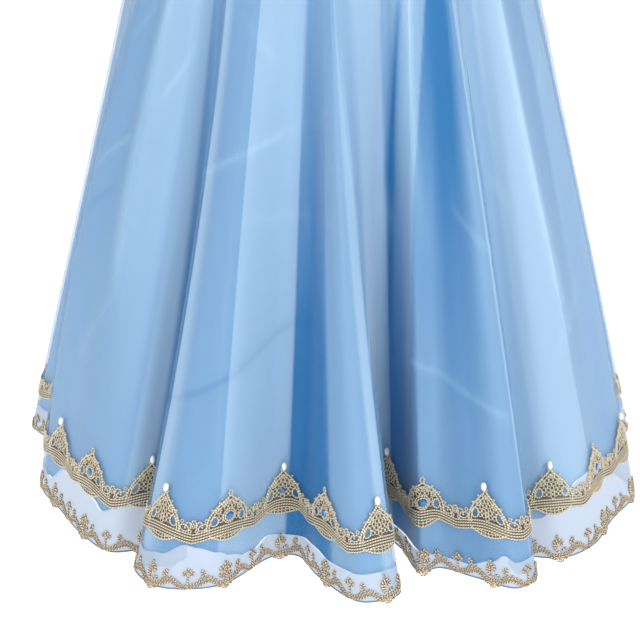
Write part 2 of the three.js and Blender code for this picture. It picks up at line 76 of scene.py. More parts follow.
# %% [markdown]
# ## Camera, floor and light
# A skirt looks best from a little above and through a long lens, so that its hem shows as a
# curve. The camera is placed by its distance, height and tilt, and its shift moves the picture
# sideways without turning the view. The light is soft, as in a studio: one wide lamp in front on
# the right, a weaker one on the left, one behind, and a bright room all round. Area lamps are
# used because sheer cloth shows every hard shadow.

# %% Camera
CAMERA_DISTANCE = 2.3
CAMERA_ABOVE_HEM = 1.2
CAMERA_DOWN = 23.6
LENS_PIXELS = 1998
PICTURE = 640
AXIS_PIXEL = 332
SENSOR = 36

camera_data = bpy.data.cameras.new("camera")
camera_data.sensor_fit = "HORIZONTAL"
camera_data.sensor_width = SENSOR
camera_data.lens = LENS_PIXELS / PICTURE * SENSOR
camera_data.shift_x = (PICTURE / 2 - AXIS_PIXEL) / PICTURE
camera = bpy.data.objects.new("camera", camera_data)
camera.location = (0, -CAMERA_DISTANCE, CAMERA_ABOVE_HEM - SKIRT)
camera.rotation_euler = (math.radians(90 - CAMERA_DOWN), 0, 0)
bpy.context.scene.collection.objects.link(camera)
bpy.context.scene.camera = camera
bpy.context.scene.view_settings.view_transform = "Standard"
print(f"lens {camera_data.lens:.1f} mm, shift {camera_data.shift_x:.4f}")

# %% Lamps and room
def lamp(name, place, aim, width, power):
    """A square area lamp at place. Two angles of the line from aim to place turn it to face aim."""
    data = bpy.data.lights.new(name, "AREA")
    data.size = width
    data.energy = power
    made = bpy.data.objects.new(name, data)
    made.location = place
    away = np.subtract(place, aim)
    across = math.hypot(away[0], away[1])
    made.rotation_euler = (math.atan2(across, away[2]), 0, math.atan2(away[0], -away[1]))
    bpy.context.scene.collection.objects.link(made)


lamp("key", (2.3, -2.9, 1.5), (0, 0, -0.5), 1.4, 80)
lamp("fill", (-2.8, -2.4, 0.7), (0, 0, -0.5), 1.8, 43)
lamp("back", (-0.4, 3.0, 1.6), (0, 0, -0.4), 2.4, 45)

ROOM_COLOUR = (0.985, 0.99, 0.99, 1)
ROOM_STRENGTH = 0.67
room = bpy.data.worlds.new("room")
room.use_nodes = True
background = room.node_tree.nodes["Background"]
background.inputs["Color"].default_value = ROOM_COLOUR
background.inputs["Strength"].default_value = ROOM_STRENGTH
bpy.context.scene.world = room
print(len(bpy.data.lights), "lamps and a bright room")

# %% [markdown]
# ## Meshes from arrays
# Cloth, cord and stone could all be modelled by hand, but here each piece is worked out as whole
# arrays of points, so that every part of the dress follows the same skirt. One helper turns
# points and faces into a mesh. One makes the faces of a grid whose rows run down the cloth and
# whose columns run along it, and one those of a tube. Texture coordinates are in metres of
# cloth, so that a weave has its real scale wherever it lies.

# %% New piece
def new_piece(name, points, face_sets, corner_maps, materials, material_of=None, smooth=True):
    """A mesh object from points (n, 3), arrays of faces and the map of the faces' corners."""
    mesh = bpy.data.meshes.new(name)
    points = np.asarray(points, np.float32).reshape(-1, 3)
    mesh.vertices.add(len(points))
    mesh.vertices.foreach_set("co", points.ravel())
    corners = np.concatenate([faces.ravel() for faces in face_sets]).astype(np.int32)
    sizes = np.concatenate([np.full(len(faces), faces.shape[1]) for faces in face_sets])
    mesh.loops.add(len(corners))
    mesh.loops.foreach_set("vertex_index", corners)
    mesh.polygons.add(len(sizes))
    mesh.polygons.foreach_set("loop_start", (np.cumsum(sizes) - sizes).astype(np.int32))
    layer = mesh.uv_layers.new(name="cloth")
    maps = np.concatenate([m.reshape(-1, 2) for m in corner_maps]).astype(np.float32)
    layer.data.foreach_set("uv", maps.ravel())
    for material in materials:
        mesh.materials.append(material)
    if material_of is not None:
        mesh.polygons.foreach_set("material_index", np.asarray(material_of, np.int32))
    mesh.update(calc_edges=True)
    mesh.validate()
    mesh.polygons.foreach_set("use_smooth", np.full(len(mesh.polygons), smooth))
    piece = bpy.data.objects.new(name, mesh)
    bpy.context.scene.collection.objects.link(piece)
    print(f"{name}: {int((sizes - 2).sum())} triangles")
    return piece


# %% Grids, rings and lines
def grid_faces(rows, columns):
    """Corners of each cell of a grid: down the left side, then back up the right."""
    index = np.arange(rows * columns).reshape(rows, columns)
    cells = [index[:-1, :-1], index[1:, :-1], index[1:, 1:], index[:-1, 1:]]
    return np.stack([c.ravel() for c in cells], 1)


def grid_piece(name, points, u, v, materials, material_of=None):
    """A one-layer sheet through a grid of points, with u and v as its map coordinates."""
    rows, columns = points.shape[:2]
    faces = grid_faces(rows, columns)
    uv = np.stack(np.broadcast_arrays(u, v), -1).reshape(-1, 2)
    return new_piece(name, points, [faces], [uv[faces]], materials, material_of)


def ring_faces(first, sides):
    """Quads from each ring of points to the next ring: a side of the one, then back along the
    other. first holds the number of each ring's first point."""
    side = np.arange(sides)
    after = (side + 1) % sides
    first = np.asarray(first)[..., None]
    return np.stack([first + side, first + after, first + sides + after, first + sides + side], -1)


def turned_over(quads):
    """The same quads seen from the other side, each with the same first corner."""
    return quads[..., [0, 3, 2, 1]]


def run_along(points):
    """Distance to each point along a line of points: the sum of the steps before it."""
    steps = np.linalg.norm(np.diff(points, axis=0), axis=1)
    return np.concatenate([[0], np.cumsum(steps)])


def unit(vectors):
    """Each vector at length 1."""
    return vectors / np.maximum(np.linalg.norm(vectors, axis=-1, keepdims=True), 1e-12)


def smooth_step(share):
    """From 0 to 1 without a corner at either end: three squares less two cubes."""
    return share * share * (3 - 2 * share)


def blend(t, start, start_slope, stop, stop_slope):
    """A cubic from start to stop with the given slopes at its ends, where t goes from 0 to 1."""
    return (
        (2 * t**3 - 3 * t**2 + 1) * start
        + (t**3 - 2 * t**2 + t) * start_slope
        + (3 * t**2 - 2 * t**3) * stop
        + (t**3 - t**2) * stop_slope
    )


print("a tube of 5 sides has", len(ring_faces(0, 5)), "quads between two rings")


# %% [markdown]
# ## The skirt's surface
# A skirt of this cut hangs in flutes that start at the hip and open towards the hem. A cloth
# simulation would give flutes, but not these ones. So each crest and hollow is one row of a
# table: its direction and distance from the middle at the hip and at the hem, in degrees from
# the front and in millimetres. `swell` says how early it swings out on its way down. A smooth
# closed curve joins the rows, and its length along the hem is the cloth's own length, which
# everything sewn on the skirt uses as its first coordinate. The second is the depth below the
# waist.

# %% Fold table
# fold, hip_at, hip_out, hem_at, hem_out, swell
FOLDS = [
    ("left side-back crest", -86, 231, -104, 412, -0.12),
    ("left side hollow", -71, 229, -92, 348, 0.06),
    ("left front crest", -57, 247, -79.5, 374, 0.4),
    ("left front face", -50, 242, -67, 361, 0.35),
    ("left front ridge", -44, 243, -56.5, 360, 0.29),
    ("left front edge", -38, 239, -47.8, 355, 0.12),
    ("left hollow, outer", -35, 234, -43.4, 320, 0),
    ("left hollow, bottom", -32.5, 231, -38.2, 294, -0.06),
    ("left hollow, inner", -31, 232, -34.4, 304, -0.12),
    ("second crest, back", -29.5, 237, -35.8, 334, -0.14),
    ("second crest, edge", -27.8, 243, -40.2, 357, -0.16),
    ("second crest", -23.5, 248, -32.5, 376, -0.09),
    ("second face", -17.5, 246, -22.5, 342, 0.23),
    ("middle hollow, left", -9, 238, -15.5, 259, 0.12),
    ("middle hollow, right", -5, 232, -9.5, 251, 0.12),
    ("middle rise", -2.6, 238, -3, 296, 0),
    ("middle crest", -0.6, 247, 5.5, 353, 0),
    ("middle crest, edge", 1.5, 247, 13.2, 341, -0.06),
    ("middle crest, back", 6, 236, 11.4, 300, -0.06),
    ("deep hollow, left", 11, 226, 11.4, 246, 0),
    ("deep hollow, bottom", 14.5, 223, 16, 203, 0),
    ("deep hollow, right", 18, 229, 19.6, 244, 0),
    ("fourth face, ripple", 21, 236, 19.8, 303, -0.18),
    ("fourth face, dip", 25, 235, 24.5, 303, -0.06),
    ("fourth face, rise", 28, 241, 29, 339, 0.06),
    ("fourth crest", 30, 248, 33.4, 385, 0.14),
    ("fourth crest, edge", 32, 248, 38.4, 382, 0.18),
    ("fourth crest, back", 34.2, 241, 37.2, 352, 0.12),
    ("right hollow", 36.5, 235, 38.6, 333, 0.06),
    ("right front edge", 39.5, 237, 42.2, 338, 0.09),
    ("right front start", 42.5, 243, 47, 371, 0.14),
    ("right front ridge", 47, 246, 54, 383, 0.18),
    ("right front face", 54, 245, 65, 378, 0.18),
    ("right front crest", 61.5, 247, 76.5, 389, 0.18),
    ("right side hollow", 74, 230, 90.5, 347, 0.06),
    ("right side-back crest", 88, 231, 103.5, 405, -0.12),
    ("back hollow 1", 101, 230, 116, 328, 0),
    ("back crest 1", 112, 246, 128, 384, 0.12),
    ("back hollow 2", 125, 233, 140.5, 320, 0),
    ("back crest 2", 137, 248, 153, 388, 0.12),
    ("back hollow 3", 150, 235, 165, 324, 0),
    ("back crest 3", 162, 250, 176, 382, 0.12),
    ("back hollow 4", 174, 236, 188, 320, 0),
    ("back crest 4", 186, 250, 199, 390, 0.12),
    ("back hollow 5", 198, 235, 210.5, 325, 0),
    ("back crest 5", 210, 248, 221.5, 383, 0.12),
    ("back hollow 6", 222, 233, 232, 322, 0),
    ("back crest 6", 236, 246, 243, 386, 0.12),
    ("back hollow 7", 252, 232, 250.5, 332, 0),
]
CURVE_STEPS = 48
print(len(FOLDS), "crests and hollows")

# %% Curve through the folds
def fold_curve(steps):
    """Closed cubics through the rows: hem x and y, hip angle, hip distance and swell. The knots
    are the square roots of the distances between rows, and each slope is that of the parabola
    through a row and its two neighbours."""
    hip_at, hip_out, hem_at, hem_out, swell = np.array([row[1:] for row in FOLDS], float).T
    at = np.radians(hem_at)
    hem = hem_out * MM
    hip = (np.radians(hip_at), hip_out * MM)
    here = np.stack([hem * np.sin(at), -hem * np.cos(at), *hip, swell], 1)
    turn = np.array([0, 0, 2 * np.pi, 0, 0])
    before = np.concatenate([here[-1:] - turn, here[:-1]])
    after = np.concatenate([here[1:], here[:1] + turn])
    knot = np.sqrt(np.hypot(*(after - here)[:, :2].T))[:, None]
    knot_before = np.roll(knot, 1, 0)
    slope = (here - before) / knot_before + (after - here) / knot
    slope = slope - (after - before) / (knot_before + knot)
    slope_after = np.roll(slope, -1, 0)
    t = (np.arange(steps) / steps)[None, :, None]
    ends = (here, slope * knot, after, slope_after * knot)
    curve = blend(t, *(row[:, None] for row in ends)).reshape(-1, 5)
    return np.concatenate([curve, curve[:1] + turn])


hem_curve = fold_curve(CURVE_STEPS)
along = run_along(hem_curve[:, :2])
HEM_LENGTH = along[-1]
REPEAT = HEM_LENGTH / REPEATS
print(f"hem {HEM_LENGTH:.3f} m round, one lace repeat {REPEAT * 1000:.1f} mm")

# %% Cloth at a length and a depth
def cloth(length, depth):
    """Point of the bare cloth. From the waist's ellipse to the hip it widens along one direction,
    as full as makes it run smoothly through the hip. From the hip to the hem the direction and
    the distance both go from the hip's to the hem's, by a share that the swell bends."""
    length, depth = np.broadcast_arrays(length, depth)
    turns = np.floor(length / HEM_LENGTH)
    rest = length - turns * HEM_LENGTH
    x, y, hip_at, hip_out, swell = (np.interp(rest, along, hem_curve[:, c]) for c in range(5))
    bare = np.arctan2(x, -y)
    hem_at = bare - 2 * np.pi * np.round((bare - hip_at) / (2 * np.pi))
    hem_out = np.hypot(x, y)
    waist = 1 / np.hypot(np.sin(hip_at) / WAIST_HALF_WIDTH, np.cos(hip_at) / WAIST_HALF_DEPTH)
    down = np.minimum(depth / HIP, 1)
    fall = np.maximum((depth - HIP) / (SKIRT - HIP), 0)
    swing = fall + swell * fall * (1 - fall)
    slope = (hem_out - hip_out) * (1 + swell) / (SKIRT - HIP)
    fullness = np.clip(1 - slope * HIP / (hip_out - waist), 0, MOST_FULLNESS)
    upper = waist + (hip_out - waist) * (down + fullness * down * (1 - down))
    out = np.where(depth < HIP, upper, hip_out + (hem_out - hip_out) * swing)
    at = hip_at + (hem_at - hip_at) * swing
    return np.stack([out * np.sin(at), -out * np.cos(at), -depth], -1)


def facing(length, depth, step=0.0015):
    """Outward unit vector of the bare cloth, from the points a small step to each side."""
    along_hem = cloth(length + step, depth) - cloth(length - step, depth)
    down = cloth(length, depth + step) - cloth(length, depth - step)
    return unit(np.cross(down, along_hem))


def fold_length(name):
    """Length along the hem where a fold of the table is."""
    row = [fold[0] for fold in FOLDS].index(name)
    return along[row * CURVE_STEPS]


def seam_near(name):
    """Length along the hem of a seam: a whole quarter repeat of the lace, nearest to the fold."""
    quarter = REPEAT / 4
    return FIRST_PEAK + round((fold_length(name) - FIRST_PEAK) / quarter) * quarter


LEFT_SEAM, RIGHT_SEAM = seam_near("left side hollow"), seam_near("right side hollow")
BACK_SEAM = 2.636
SEAMS = (LEFT_SEAM, RIGHT_SEAM, BACK_SEAM)
PANELS = {"front": (LEFT_SEAM, RIGHT_SEAM), "back": (RIGHT_SEAM, LEFT_SEAM + HEM_LENGTH)}
for side, (start, stop) in PANELS.items():
    print(f"{side}: {stop - start:.3f} m of hem")

# %% [markdown]
# ## Finishes
# Cloth looks like cloth because of three things: threads that cross, a sheen that grows towards
# the edge of a fold, and colour that is never quite even. The threads and the unevenness are
# used by every cloth here, so they are one node group, `woven`. It reads the map coordinates,
# which are metres of cloth, and gives a height for bump and a shade between 0 and 1. The gold
# cord has a group of its own, because a cord's map runs along it and round it. Painted textures
# would do as well, but these stay sharp at any distance.

# %% Node helpers
def group_with(name, inputs, outputs):
    """An empty shader node group with float inputs and outputs, and its two end nodes."""
    tree = bpy.data.node_groups.new(name, "ShaderNodeTree")
    kind = "NodeSocketFloat"
    for label, value in inputs.items():
        socket = tree.interface.new_socket(label, in_out="INPUT", socket_type=kind)
        socket.default_value = value
    for label in outputs:
        tree.interface.new_socket(label, in_out="OUTPUT", socket_type=kind)
    return tree, tree.nodes.new("NodeGroupInput"), tree.nodes.new("NodeGroupOutput")


def calculate(tree, operation, *values):
    """A Math node's result. Each value is a number or another node's output."""
    node = tree.nodes.new("ShaderNodeMath")
    node.operation = operation
    for socket, value in zip(node.inputs, values):
        if isinstance(value, (int, float)):
            socket.default_value = value
        else:
            tree.links.new(value, socket)
    return node.outputs[0]


def cloth_map(tree):
    """Distance along the cloth, distance down it, and both as a vector, in metres."""
    node = tree.nodes.new("ShaderNodeUVMap")
    node.uv_map = "cloth"
    parts = tree.nodes.new("ShaderNodeSeparateXYZ")
    tree.links.new(node.outputs["UV"], parts.inputs[0])
    return parts.outputs["X"], parts.outputs["Y"], node.outputs["UV"]


def noise(tree, vector, scale, detail=2.0):
    """Noise from 0 to 1 with the given number of lumps in a metre."""
    node = tree.nodes.new("ShaderNodeTexNoise")
    node.inputs["Scale"].default_value = scale
    node.inputs["Detail"].default_value = detail
    tree.links.new(vector, node.inputs["Vector"])
    return node.outputs["Fac"]


print("node helpers: a group, a sum, the cloth's map and noise")

# %% Woven group
THREAD_HEIGHT = 0.25
NOISE_STRETCH = 0.12
# lumps of noise in a metre of cloth
SLUB_LUMPS = 900
SHADE_LUMPS = 26


def make_woven():
    """Height is the sum of a sine along the cloth and one down it, raised where noise pulls a
    thread. Shade is slow noise, stretched down the cloth."""
    tree, start, end = group_with("woven", {"Threads": 2200.0, "Slub": 0.3}, ["Height", "Shade"])
    along_cloth, down_cloth, vector = cloth_map(tree)
    turn = calculate(tree, "MULTIPLY", start.outputs["Threads"], 2 * math.pi)
    warp = calculate(tree, "SINE", calculate(tree, "MULTIPLY", along_cloth, turn))
    weft = calculate(tree, "SINE", calculate(tree, "MULTIPLY", down_cloth, turn))
    threads = calculate(tree, "MULTIPLY", calculate(tree, "ADD", warp, weft), THREAD_HEIGHT)
    stretched = tree.nodes.new("ShaderNodeMapping")
    stretched.inputs["Scale"].default_value = (1, NOISE_STRETCH, 1)
    tree.links.new(vector, stretched.inputs["Vector"])
    slub = noise(tree, stretched.outputs["Vector"], SLUB_LUMPS)
    pulled = calculate(tree, "MULTIPLY", slub, start.outputs["Slub"])
    tree.links.new(calculate(tree, "ADD", threads, pulled), end.inputs["Height"])
    shade = noise(tree, stretched.outputs["Vector"], SHADE_LUMPS, 3.0)
    tree.links.new(shade, end.inputs["Shade"])
    return tree


woven = make_woven()
print("group:", woven.name)

# %% Twisted cord group
def make_twisted():
    """Height and Shade of a cord of twisted threads: stripes that run round it as they go along,
    because a turn round the cord counts as much as one pitch along it. Shade is painted light:
    painted highlight on each strand's crest, painted shade in the grooves between strands."""
    tree, start, end = group_with("twisted cord", {"Pitch": 0.0034}, ["Height", "Shade"])
    along_cord, round_cord, _ = cloth_map(tree)
    pitches = calculate(tree, "DIVIDE", along_cord, start.outputs["Pitch"])
    turns = calculate(tree, "ADD", pitches, round_cord)
    stripe = calculate(tree, "SINE", calculate(tree, "MULTIPLY", turns, 2 * math.pi))
    tree.links.new(calculate(tree, "ABSOLUTE", stripe), end.inputs["Height"])
    tree.links.new(calculate(tree, "MULTIPLY_ADD", stripe, 0.5, 0.5), end.inputs["Shade"])
    return tree


twisted = make_twisted()
print("group:", twisted.name)

# %% Material helpers
def new_material(name, roughness, **plain):
    """A material with one Principled shader, its plain values set by socket name."""
    material = bpy.data.materials.new(name)
    material.use_nodes = True
    shader = material.node_tree.nodes["Principled BSDF"]
    shader.inputs["Roughness"].default_value = roughness
    for socket, value in plain.items():
        shader.inputs[socket.replace("_", " ")].default_value = value
    return material, material.node_tree, shader


def use_group(tree, group, **values):
    """A group node in a material, with its inputs set by name."""
    node = tree.nodes.new("ShaderNodeGroup")
    node.node_tree = group
    for socket, value in values.items():
        node.inputs[socket].default_value = value
    return node


# A Mix node has a set of sockets for each kind of value. These numbers are its colour sockets.
MIX_FACTOR, MIX_FROM, MIX_TO, MIX_RESULT = 0, 6, 7, 2


def linear(red, green, blue):
    """A screen colour of 0 to 255 as the light values that shaders use."""
    return tuple(((v / 255 + 0.055) / 1.055) ** 2.4 for v in (red, green, blue))


def colour_between(tree, shader, factor, dark, light):
    """The shader's colour goes from one screen colour to another with the factor."""
    mix = tree.nodes.new("ShaderNodeMix")
    mix.data_type = "RGBA"
    mix.inputs[MIX_FROM].default_value = (*linear(*dark), 1)
    mix.inputs[MIX_TO].default_value = (*linear(*light), 1)
    tree.links.new(factor, mix.inputs[MIX_FACTOR])
    tree.links.new(mix.outputs[MIX_RESULT], shader.inputs["Base Color"])


def bump(tree, shader, height, distance):
    """The shader's normal follows a height, with distance metres for a height of 1."""
    node = tree.nodes.new("ShaderNodeBump")
    node.inputs["Distance"].default_value = distance
    tree.links.new(height, node.inputs["Height"])
    tree.links.new(node.outputs["Normal"], shader.inputs["Normal"])


print("a middle grey on the screen is", f"{linear(128, 128, 128)[0]:.3f}", "of the light of white")

# %% [markdown]
# The organza is sheer, so that its colour and the under-skirt's are seen one through the other.
# Glass-like transmission could do that too, but a plain alpha is what a thin weave does: part of
# the light passes between the threads. Below the under-skirt the organza has nothing behind it
# and shows pale and milky, so there it is a paler, denser copy of the same cloth: the light that
# comes through it from behind is painted into its colour. The under-skirt is opaque. Organza and
# under-skirt both read a painted shading, shade and highlight, from the points of their meshes.

# %% Cloth materials
ORGANZA_ALPHA = 0.38
HEM_ALPHA = 0.87
UNEVEN = 0.16


def cloth_material(name, dark, light, roughness, threads, depth, painted_shading=None, **plain):
    """Woven cloth: its colour goes slowly between two near shades, its bump is the threads. Where
    a painted shading attribute is named, it carries the colour instead, from painted shade to
    painted highlight, and the weave only shifts it."""
    material, tree, shader = new_material(name, roughness, **plain)
    weave = use_group(tree, woven, Threads=threads)
    factor = weave.outputs["Shade"]
    if painted_shading:
        attribute = tree.nodes.new("ShaderNodeAttribute")
        attribute.attribute_name = painted_shading
        uneven = calculate(tree, "MULTIPLY_ADD", factor, UNEVEN, -UNEVEN / 2)
        factor = calculate(tree, "ADD", attribute.outputs["Fac"], uneven)
    colour_between(tree, shader, factor, dark, light)
    bump(tree, shader, weave.outputs["Height"], depth)
    return material


# For organza and under-skirt the two colours are the ends of the painted shading: the dark one is
# the blue in painted shade, the light one the blue under a painted highlight.
organza = cloth_material(
    "sheer organza", (46, 131, 193), (156, 204, 237), 0.42, 1800.0, 0.00012, "painted_shading",
    Alpha=ORGANZA_ALPHA, Sheen_Weight=0.5, Sheen_Roughness=0.3,
)
# The hem is the same organza as a paler copy: its pale colour is painted light, the light coming
# through it from behind.
hem_organza_painted_light = cloth_material(
    "sheer hem painted light", (166, 182, 203), (176, 192, 213), 0.5, 1800.0, 0.00012, Alpha=HEM_ALPHA,
)
satin_lining = cloth_material(
    "satin under-skirt", (12, 117, 180), (212, 233, 246), 0.5, 2400.0, 0.00008, "painted_shading",
    Sheen_Weight=0.2, Sheen_Roughness=0.4,
)
bodice_satin = cloth_material(
    "bodice satin", (116, 160, 204), (128, 172, 214), 0.36, 2600.0, 0.00006,
    Sheen_Weight=0.2, Sheen_Roughness=0.3,
)
rolled_edge = cloth_material(
    "rolled edge thread", (98, 122, 150), (134, 156, 182), 0.55, 900.0, 0.0002,
)
cloths = (organza, hem_organza_painted_light, satin_lining, bodice_satin, rolled_edge)
print("cloths:", ", ".join(material.name for material in cloths))

# %% [markdown]
# The cord is silk wound with metal thread. Its colour is pale where a strand stands high and brown
# in the grooves between strands: a painted highlight on the strands and painted shade in the
# grooves. The net behind it is matt, and its dark brown is painted shade, the shade that falls
# between the cords. A pearl is white under a clear coat, and a stone is deep blue, smooth and
# clear-coated. Real glass bends light through it, but a stone of this size sewn on cloth shows
# little more than its facets, and plain shaders render far faster.

# %% Gold cord and net
def gold_cord_material(name, dark, light):
    """Metallic thread: the colour goes from painted shade in the grooves to a painted highlight on
    the strands' crests with the twist's stripes.
    """
    material, tree, shader = new_material(name, 0.45, Metallic=0.2, Sheen_Weight=0.2)
    twist = use_group(tree, twisted)
    colour_between(tree, shader, twist.outputs["Shade"], dark, light)
    bump(tree, shader, twist.outputs["Height"], 0.0005)
    return material


def gold_net_material():
    """The fine net between the cords. Its dark brown is painted shade, the shade that falls between
    them.
    """
    material, tree, shader = new_material("gold net", 0.7, Alpha=0.66)
    weave = use_group(tree, woven, Threads=700.0)
    colour_between(tree, shader, weave.outputs["Height"], (84, 74, 56), (136, 120, 92))
    return material


# dark is the painted shade in the grooves, light the painted highlight on the strands
gold_cord = gold_cord_material("gold cord", (188, 158, 108), (255, 251, 232))
edging_cord = gold_cord_material("edging cord", (100, 72, 42), (252, 230, 192))
gold_net_painted_shade = gold_net_material()
print(f"gold: {gold_cord.name}, {edging_cord.name}, {gold_net_painted_shade.name}")

# %% Pearl and stone
def clear_coated(name, roughness, coat, coat_roughness, lumps, dark, light):
    """A clear coat over a body whose colour goes between two near shades with noise."""
    material, tree, shader = new_material(
        name, roughness, Coat_Weight=coat, Coat_Roughness=coat_roughness
    )
    place = tree.nodes.new("ShaderNodeTexCoord")
    colour_between(tree, shader, noise(tree, place.outputs["Object"], lumps), dark, light)
    return material


pearl_lustre = clear_coated("pearl", 0.22, 0.6, 0.08, 240, (236, 230, 218), (252, 250, 246))
stone_blue = clear_coated("blue stone", 0.08, 1.0, 0.03, 320, (0, 78, 132), (14, 122, 178))
print(f"beads: {pearl_lustre.name}, {stone_blue.name}")

# %% [markdown]
# ## The skirt's cloth
# The outer skirt is one layer of organza, cut in one front and two back panels and gathered into
# the waist. On top of the flutes it has what a real one has: small gathers that fade below the
# waist, a dent along each seam, and the uneven creases that packing left. Each crease is a
# row of a table: where it starts and ends on the cloth, in millimetres along the
# hem and below the waist, how high it stands (or how deep, if negative) and how wide it is.

# %% Crease table
# from_length, from_depth, to_length, to_depth, height, width
CREASES = [
    (296, 454, 203, 500, 1.1, 4.3), (269, 520, 198, 566, -0.9, 4.3),
    (430, 340, 349, 412, 1.1, 5.0), (792, 426, 556, 478, 1.3, 5.0),
    (280, 308, 221, 346, 0.9, 4.3), (684, 518, 864, 524, 0.7, 4.3),
    (811, 416, 862, 412, 0.9, 4.3), (1476, 492, 1506, 528, 1.1, 4.3),
    (1312, 512, 1405, 564, 1.2, 5.0), (1204, 682, 1407, 752, 1.2, 5.0),
    (560, 740, 808, 648, -1.1, 5.8), (640, 300, 760, 352, 0.8, 5.0),
    (330, 640, 250, 742, 0.7, 5.8), (1560, 700, 1660, 640, 0.9, 5.8),
    (1000, 480, 1070, 560, -0.7, 5.8), (324, 240, 330, 640, 2.2, 14),
    (1566, 240, 1600, 680, 2.2, 13), (688, 120, 690, 915, 0.5, 4.3),
    (980, 120, 1000, 520, 1.2, 9), (1240, 160, 1262, 560, 1.6, 11),
    (1380, 140, 1372, 420, -1.5, 10), (1150, 120, 1150, 420, -1.8, 9),
    (540, 120, 552, 420, -1.5, 10), (820, 120, 838, 560, -1.4, 10),
    (1830, 420, 1930, 500, 1.1, 5.0), (1990, 300, 1900, 380, -0.9, 5.0),
    (2060, 560, 2190, 520, 1.1, 5.0), (2140, 700, 2050, 780, 0.8, 5.8),
    (2300, 360, 2390, 452, 1.1, 5.0), (2440, 620, 2570, 664, 1.2, 5.0),
    (2500, 400, 2620, 372, -0.9, 5.0), (2660, 520, 2760, 600, 0.9, 5.8),
    (2720, 300, 2810, 340, 0.9, 4.3), (2880, 700, 2980, 640, 1.1, 5.0),
    (2930, 420, 3060, 470, 1.2, 5.0), (3110, 560, 3200, 628, -0.9, 5.0),
    (40, 380, 120, 440, 0.9, 5.0), (60, 640, 150, 600, 0.9, 5.0),
    (1700, 360, 1640, 420, 0.9, 5.0), (2100, 160, 2120, 520, 1.6, 12),
    (2420, 160, 2430, 600, 1.5, 12), (2850, 160, 2860, 560, 1.7, 12),
]
# waves round the waist, height in millimetres, shift
GATHERS = [(61, 1.1, 0.4), (97, 0.7, 2.1), (149, 0.45, 4.4)]
GATHER_HEIGHT = 1.2
GATHER_START = 0.012
# the gathers fall to a ninth of their height in 160 mm
GATHER_FADE = 0.160 / 2.2
SEAM_DENT = 0.9
SEAM_WIDTH = 0.004
print(len(CREASES), "creases and", len(GATHERS), "waves of gathers")

# %% Soft lines
WAIST_SHARE = 0.42
LINE_BOW = 0.02
LINE_END = 0.12
LINE_FADE = 0.3


def past(length, place):
    """How far a length lies past a place on the hem, the shorter way round."""
    return (length - place + HEM_LENGTH / 2) % HEM_LENGTH - HEM_LENGTH / 2


def soft_lines(table, length, depth):
    """Sum of a table's lines. Each is a soft ridge: its height falls with the square of the
    distance from the line and fades out at both ends. The cloth is narrower towards the waist,
    so a length counts for less there. Each line bows a little to one side."""
    total = np.zeros(np.broadcast(length, depth).shape)
    for x0, y0, x1, y1, height, width in table:
        x = past(length, x0 * MM) * (WAIST_SHARE + (1 - WAIST_SHARE) * depth / SKIRT)
        y = depth - y0 * MM
        middle = (y0 + y1) / 2 * MM
        dx = (x1 - x0) * MM * (WAIST_SHARE + (1 - WAIST_SHARE) * middle / SKIRT)
        dy = (y1 - y0) * MM
        reach = math.hypot(dx, dy)
        share = (x * dx + y * dy) / reach**2
        bow = LINE_BOW * reach * np.sin(np.pi * np.clip(share, 0, 1))
        off = (x * dy - y * dx) / reach + bow
        fade_in = np.clip((share + LINE_END) / LINE_FADE, 0, 1)
        fade_out = np.clip((1 + LINE_END - share) / LINE_FADE, 0, 1)
        ends = smooth_step(fade_in * fade_out)
        total = total + height * ends / (1 + (off / (width * MM)) ** 2) ** 2
    return total


print(f"10 mm after the hem's start is {past(0.01, HEM_LENGTH - 0.01):.2f} m past 10 mm before it")

# %% Relief of the cloth
def creases(length, depth):
    """Height of the creases, in metres: the sum of their soft lines."""
    return soft_lines(CREASES, length, depth) * MM


def relief(length, depth, with_creases=True):
    """How far the cloth stands off its bare form. Gathers are a few sines round the waist that
    fade down the skirt, and a slow sine pushes them closer here and wider there. A seam is a
    narrow dent."""
    length, depth = np.broadcast_arrays(length, depth)
    at = 2 * np.pi * length / HEM_LENGTH
    uneven = 0.7 * np.sin(5 * at)
    gather = sum(size * np.sin(count * at + shift + uneven) for count, size, shift in GATHERS)
    taper = np.clip(depth / GATHER_START, 0, 1) * np.exp(-depth / GATHER_FADE)
    total = gather * MM * taper * GATHER_HEIGHT
    for seam in SEAMS:
        total = total - SEAM_DENT * MM * np.exp(-((past(length, seam) / SEAM_WIDTH) ** 2))
    return total + creases(length, depth) if with_creases else total


def skirt_surface(length, depth, lift=0.0, with_creases=True):
    """The bare cloth moved out by its relief and by lift."""
    out = facing(length, depth)
    return cloth(length, depth) + out * (relief(length, depth, with_creases) + lift)[..., None]


highest = relief(np.linspace(0, HEM_LENGTH, 2000), GATHER_START, False).max()
print(f"gathers stand up to {highest / MM:.1f} mm off the cloth")

# %% [markdown]
# ## The under-skirt
# Under the organza lies an opaque skirt of the same cut, a few millimetres further in and
# shorter, so that the hem below it is sheer. Its own lower edge is not level: it rises and dips
# along the skirt, and where it is high the organza shows pale. The organza's mesh could be
# copied and shrunk, but a grid of its own lets the lower edge end where a table says: lengths
# along the hem and heights above it.

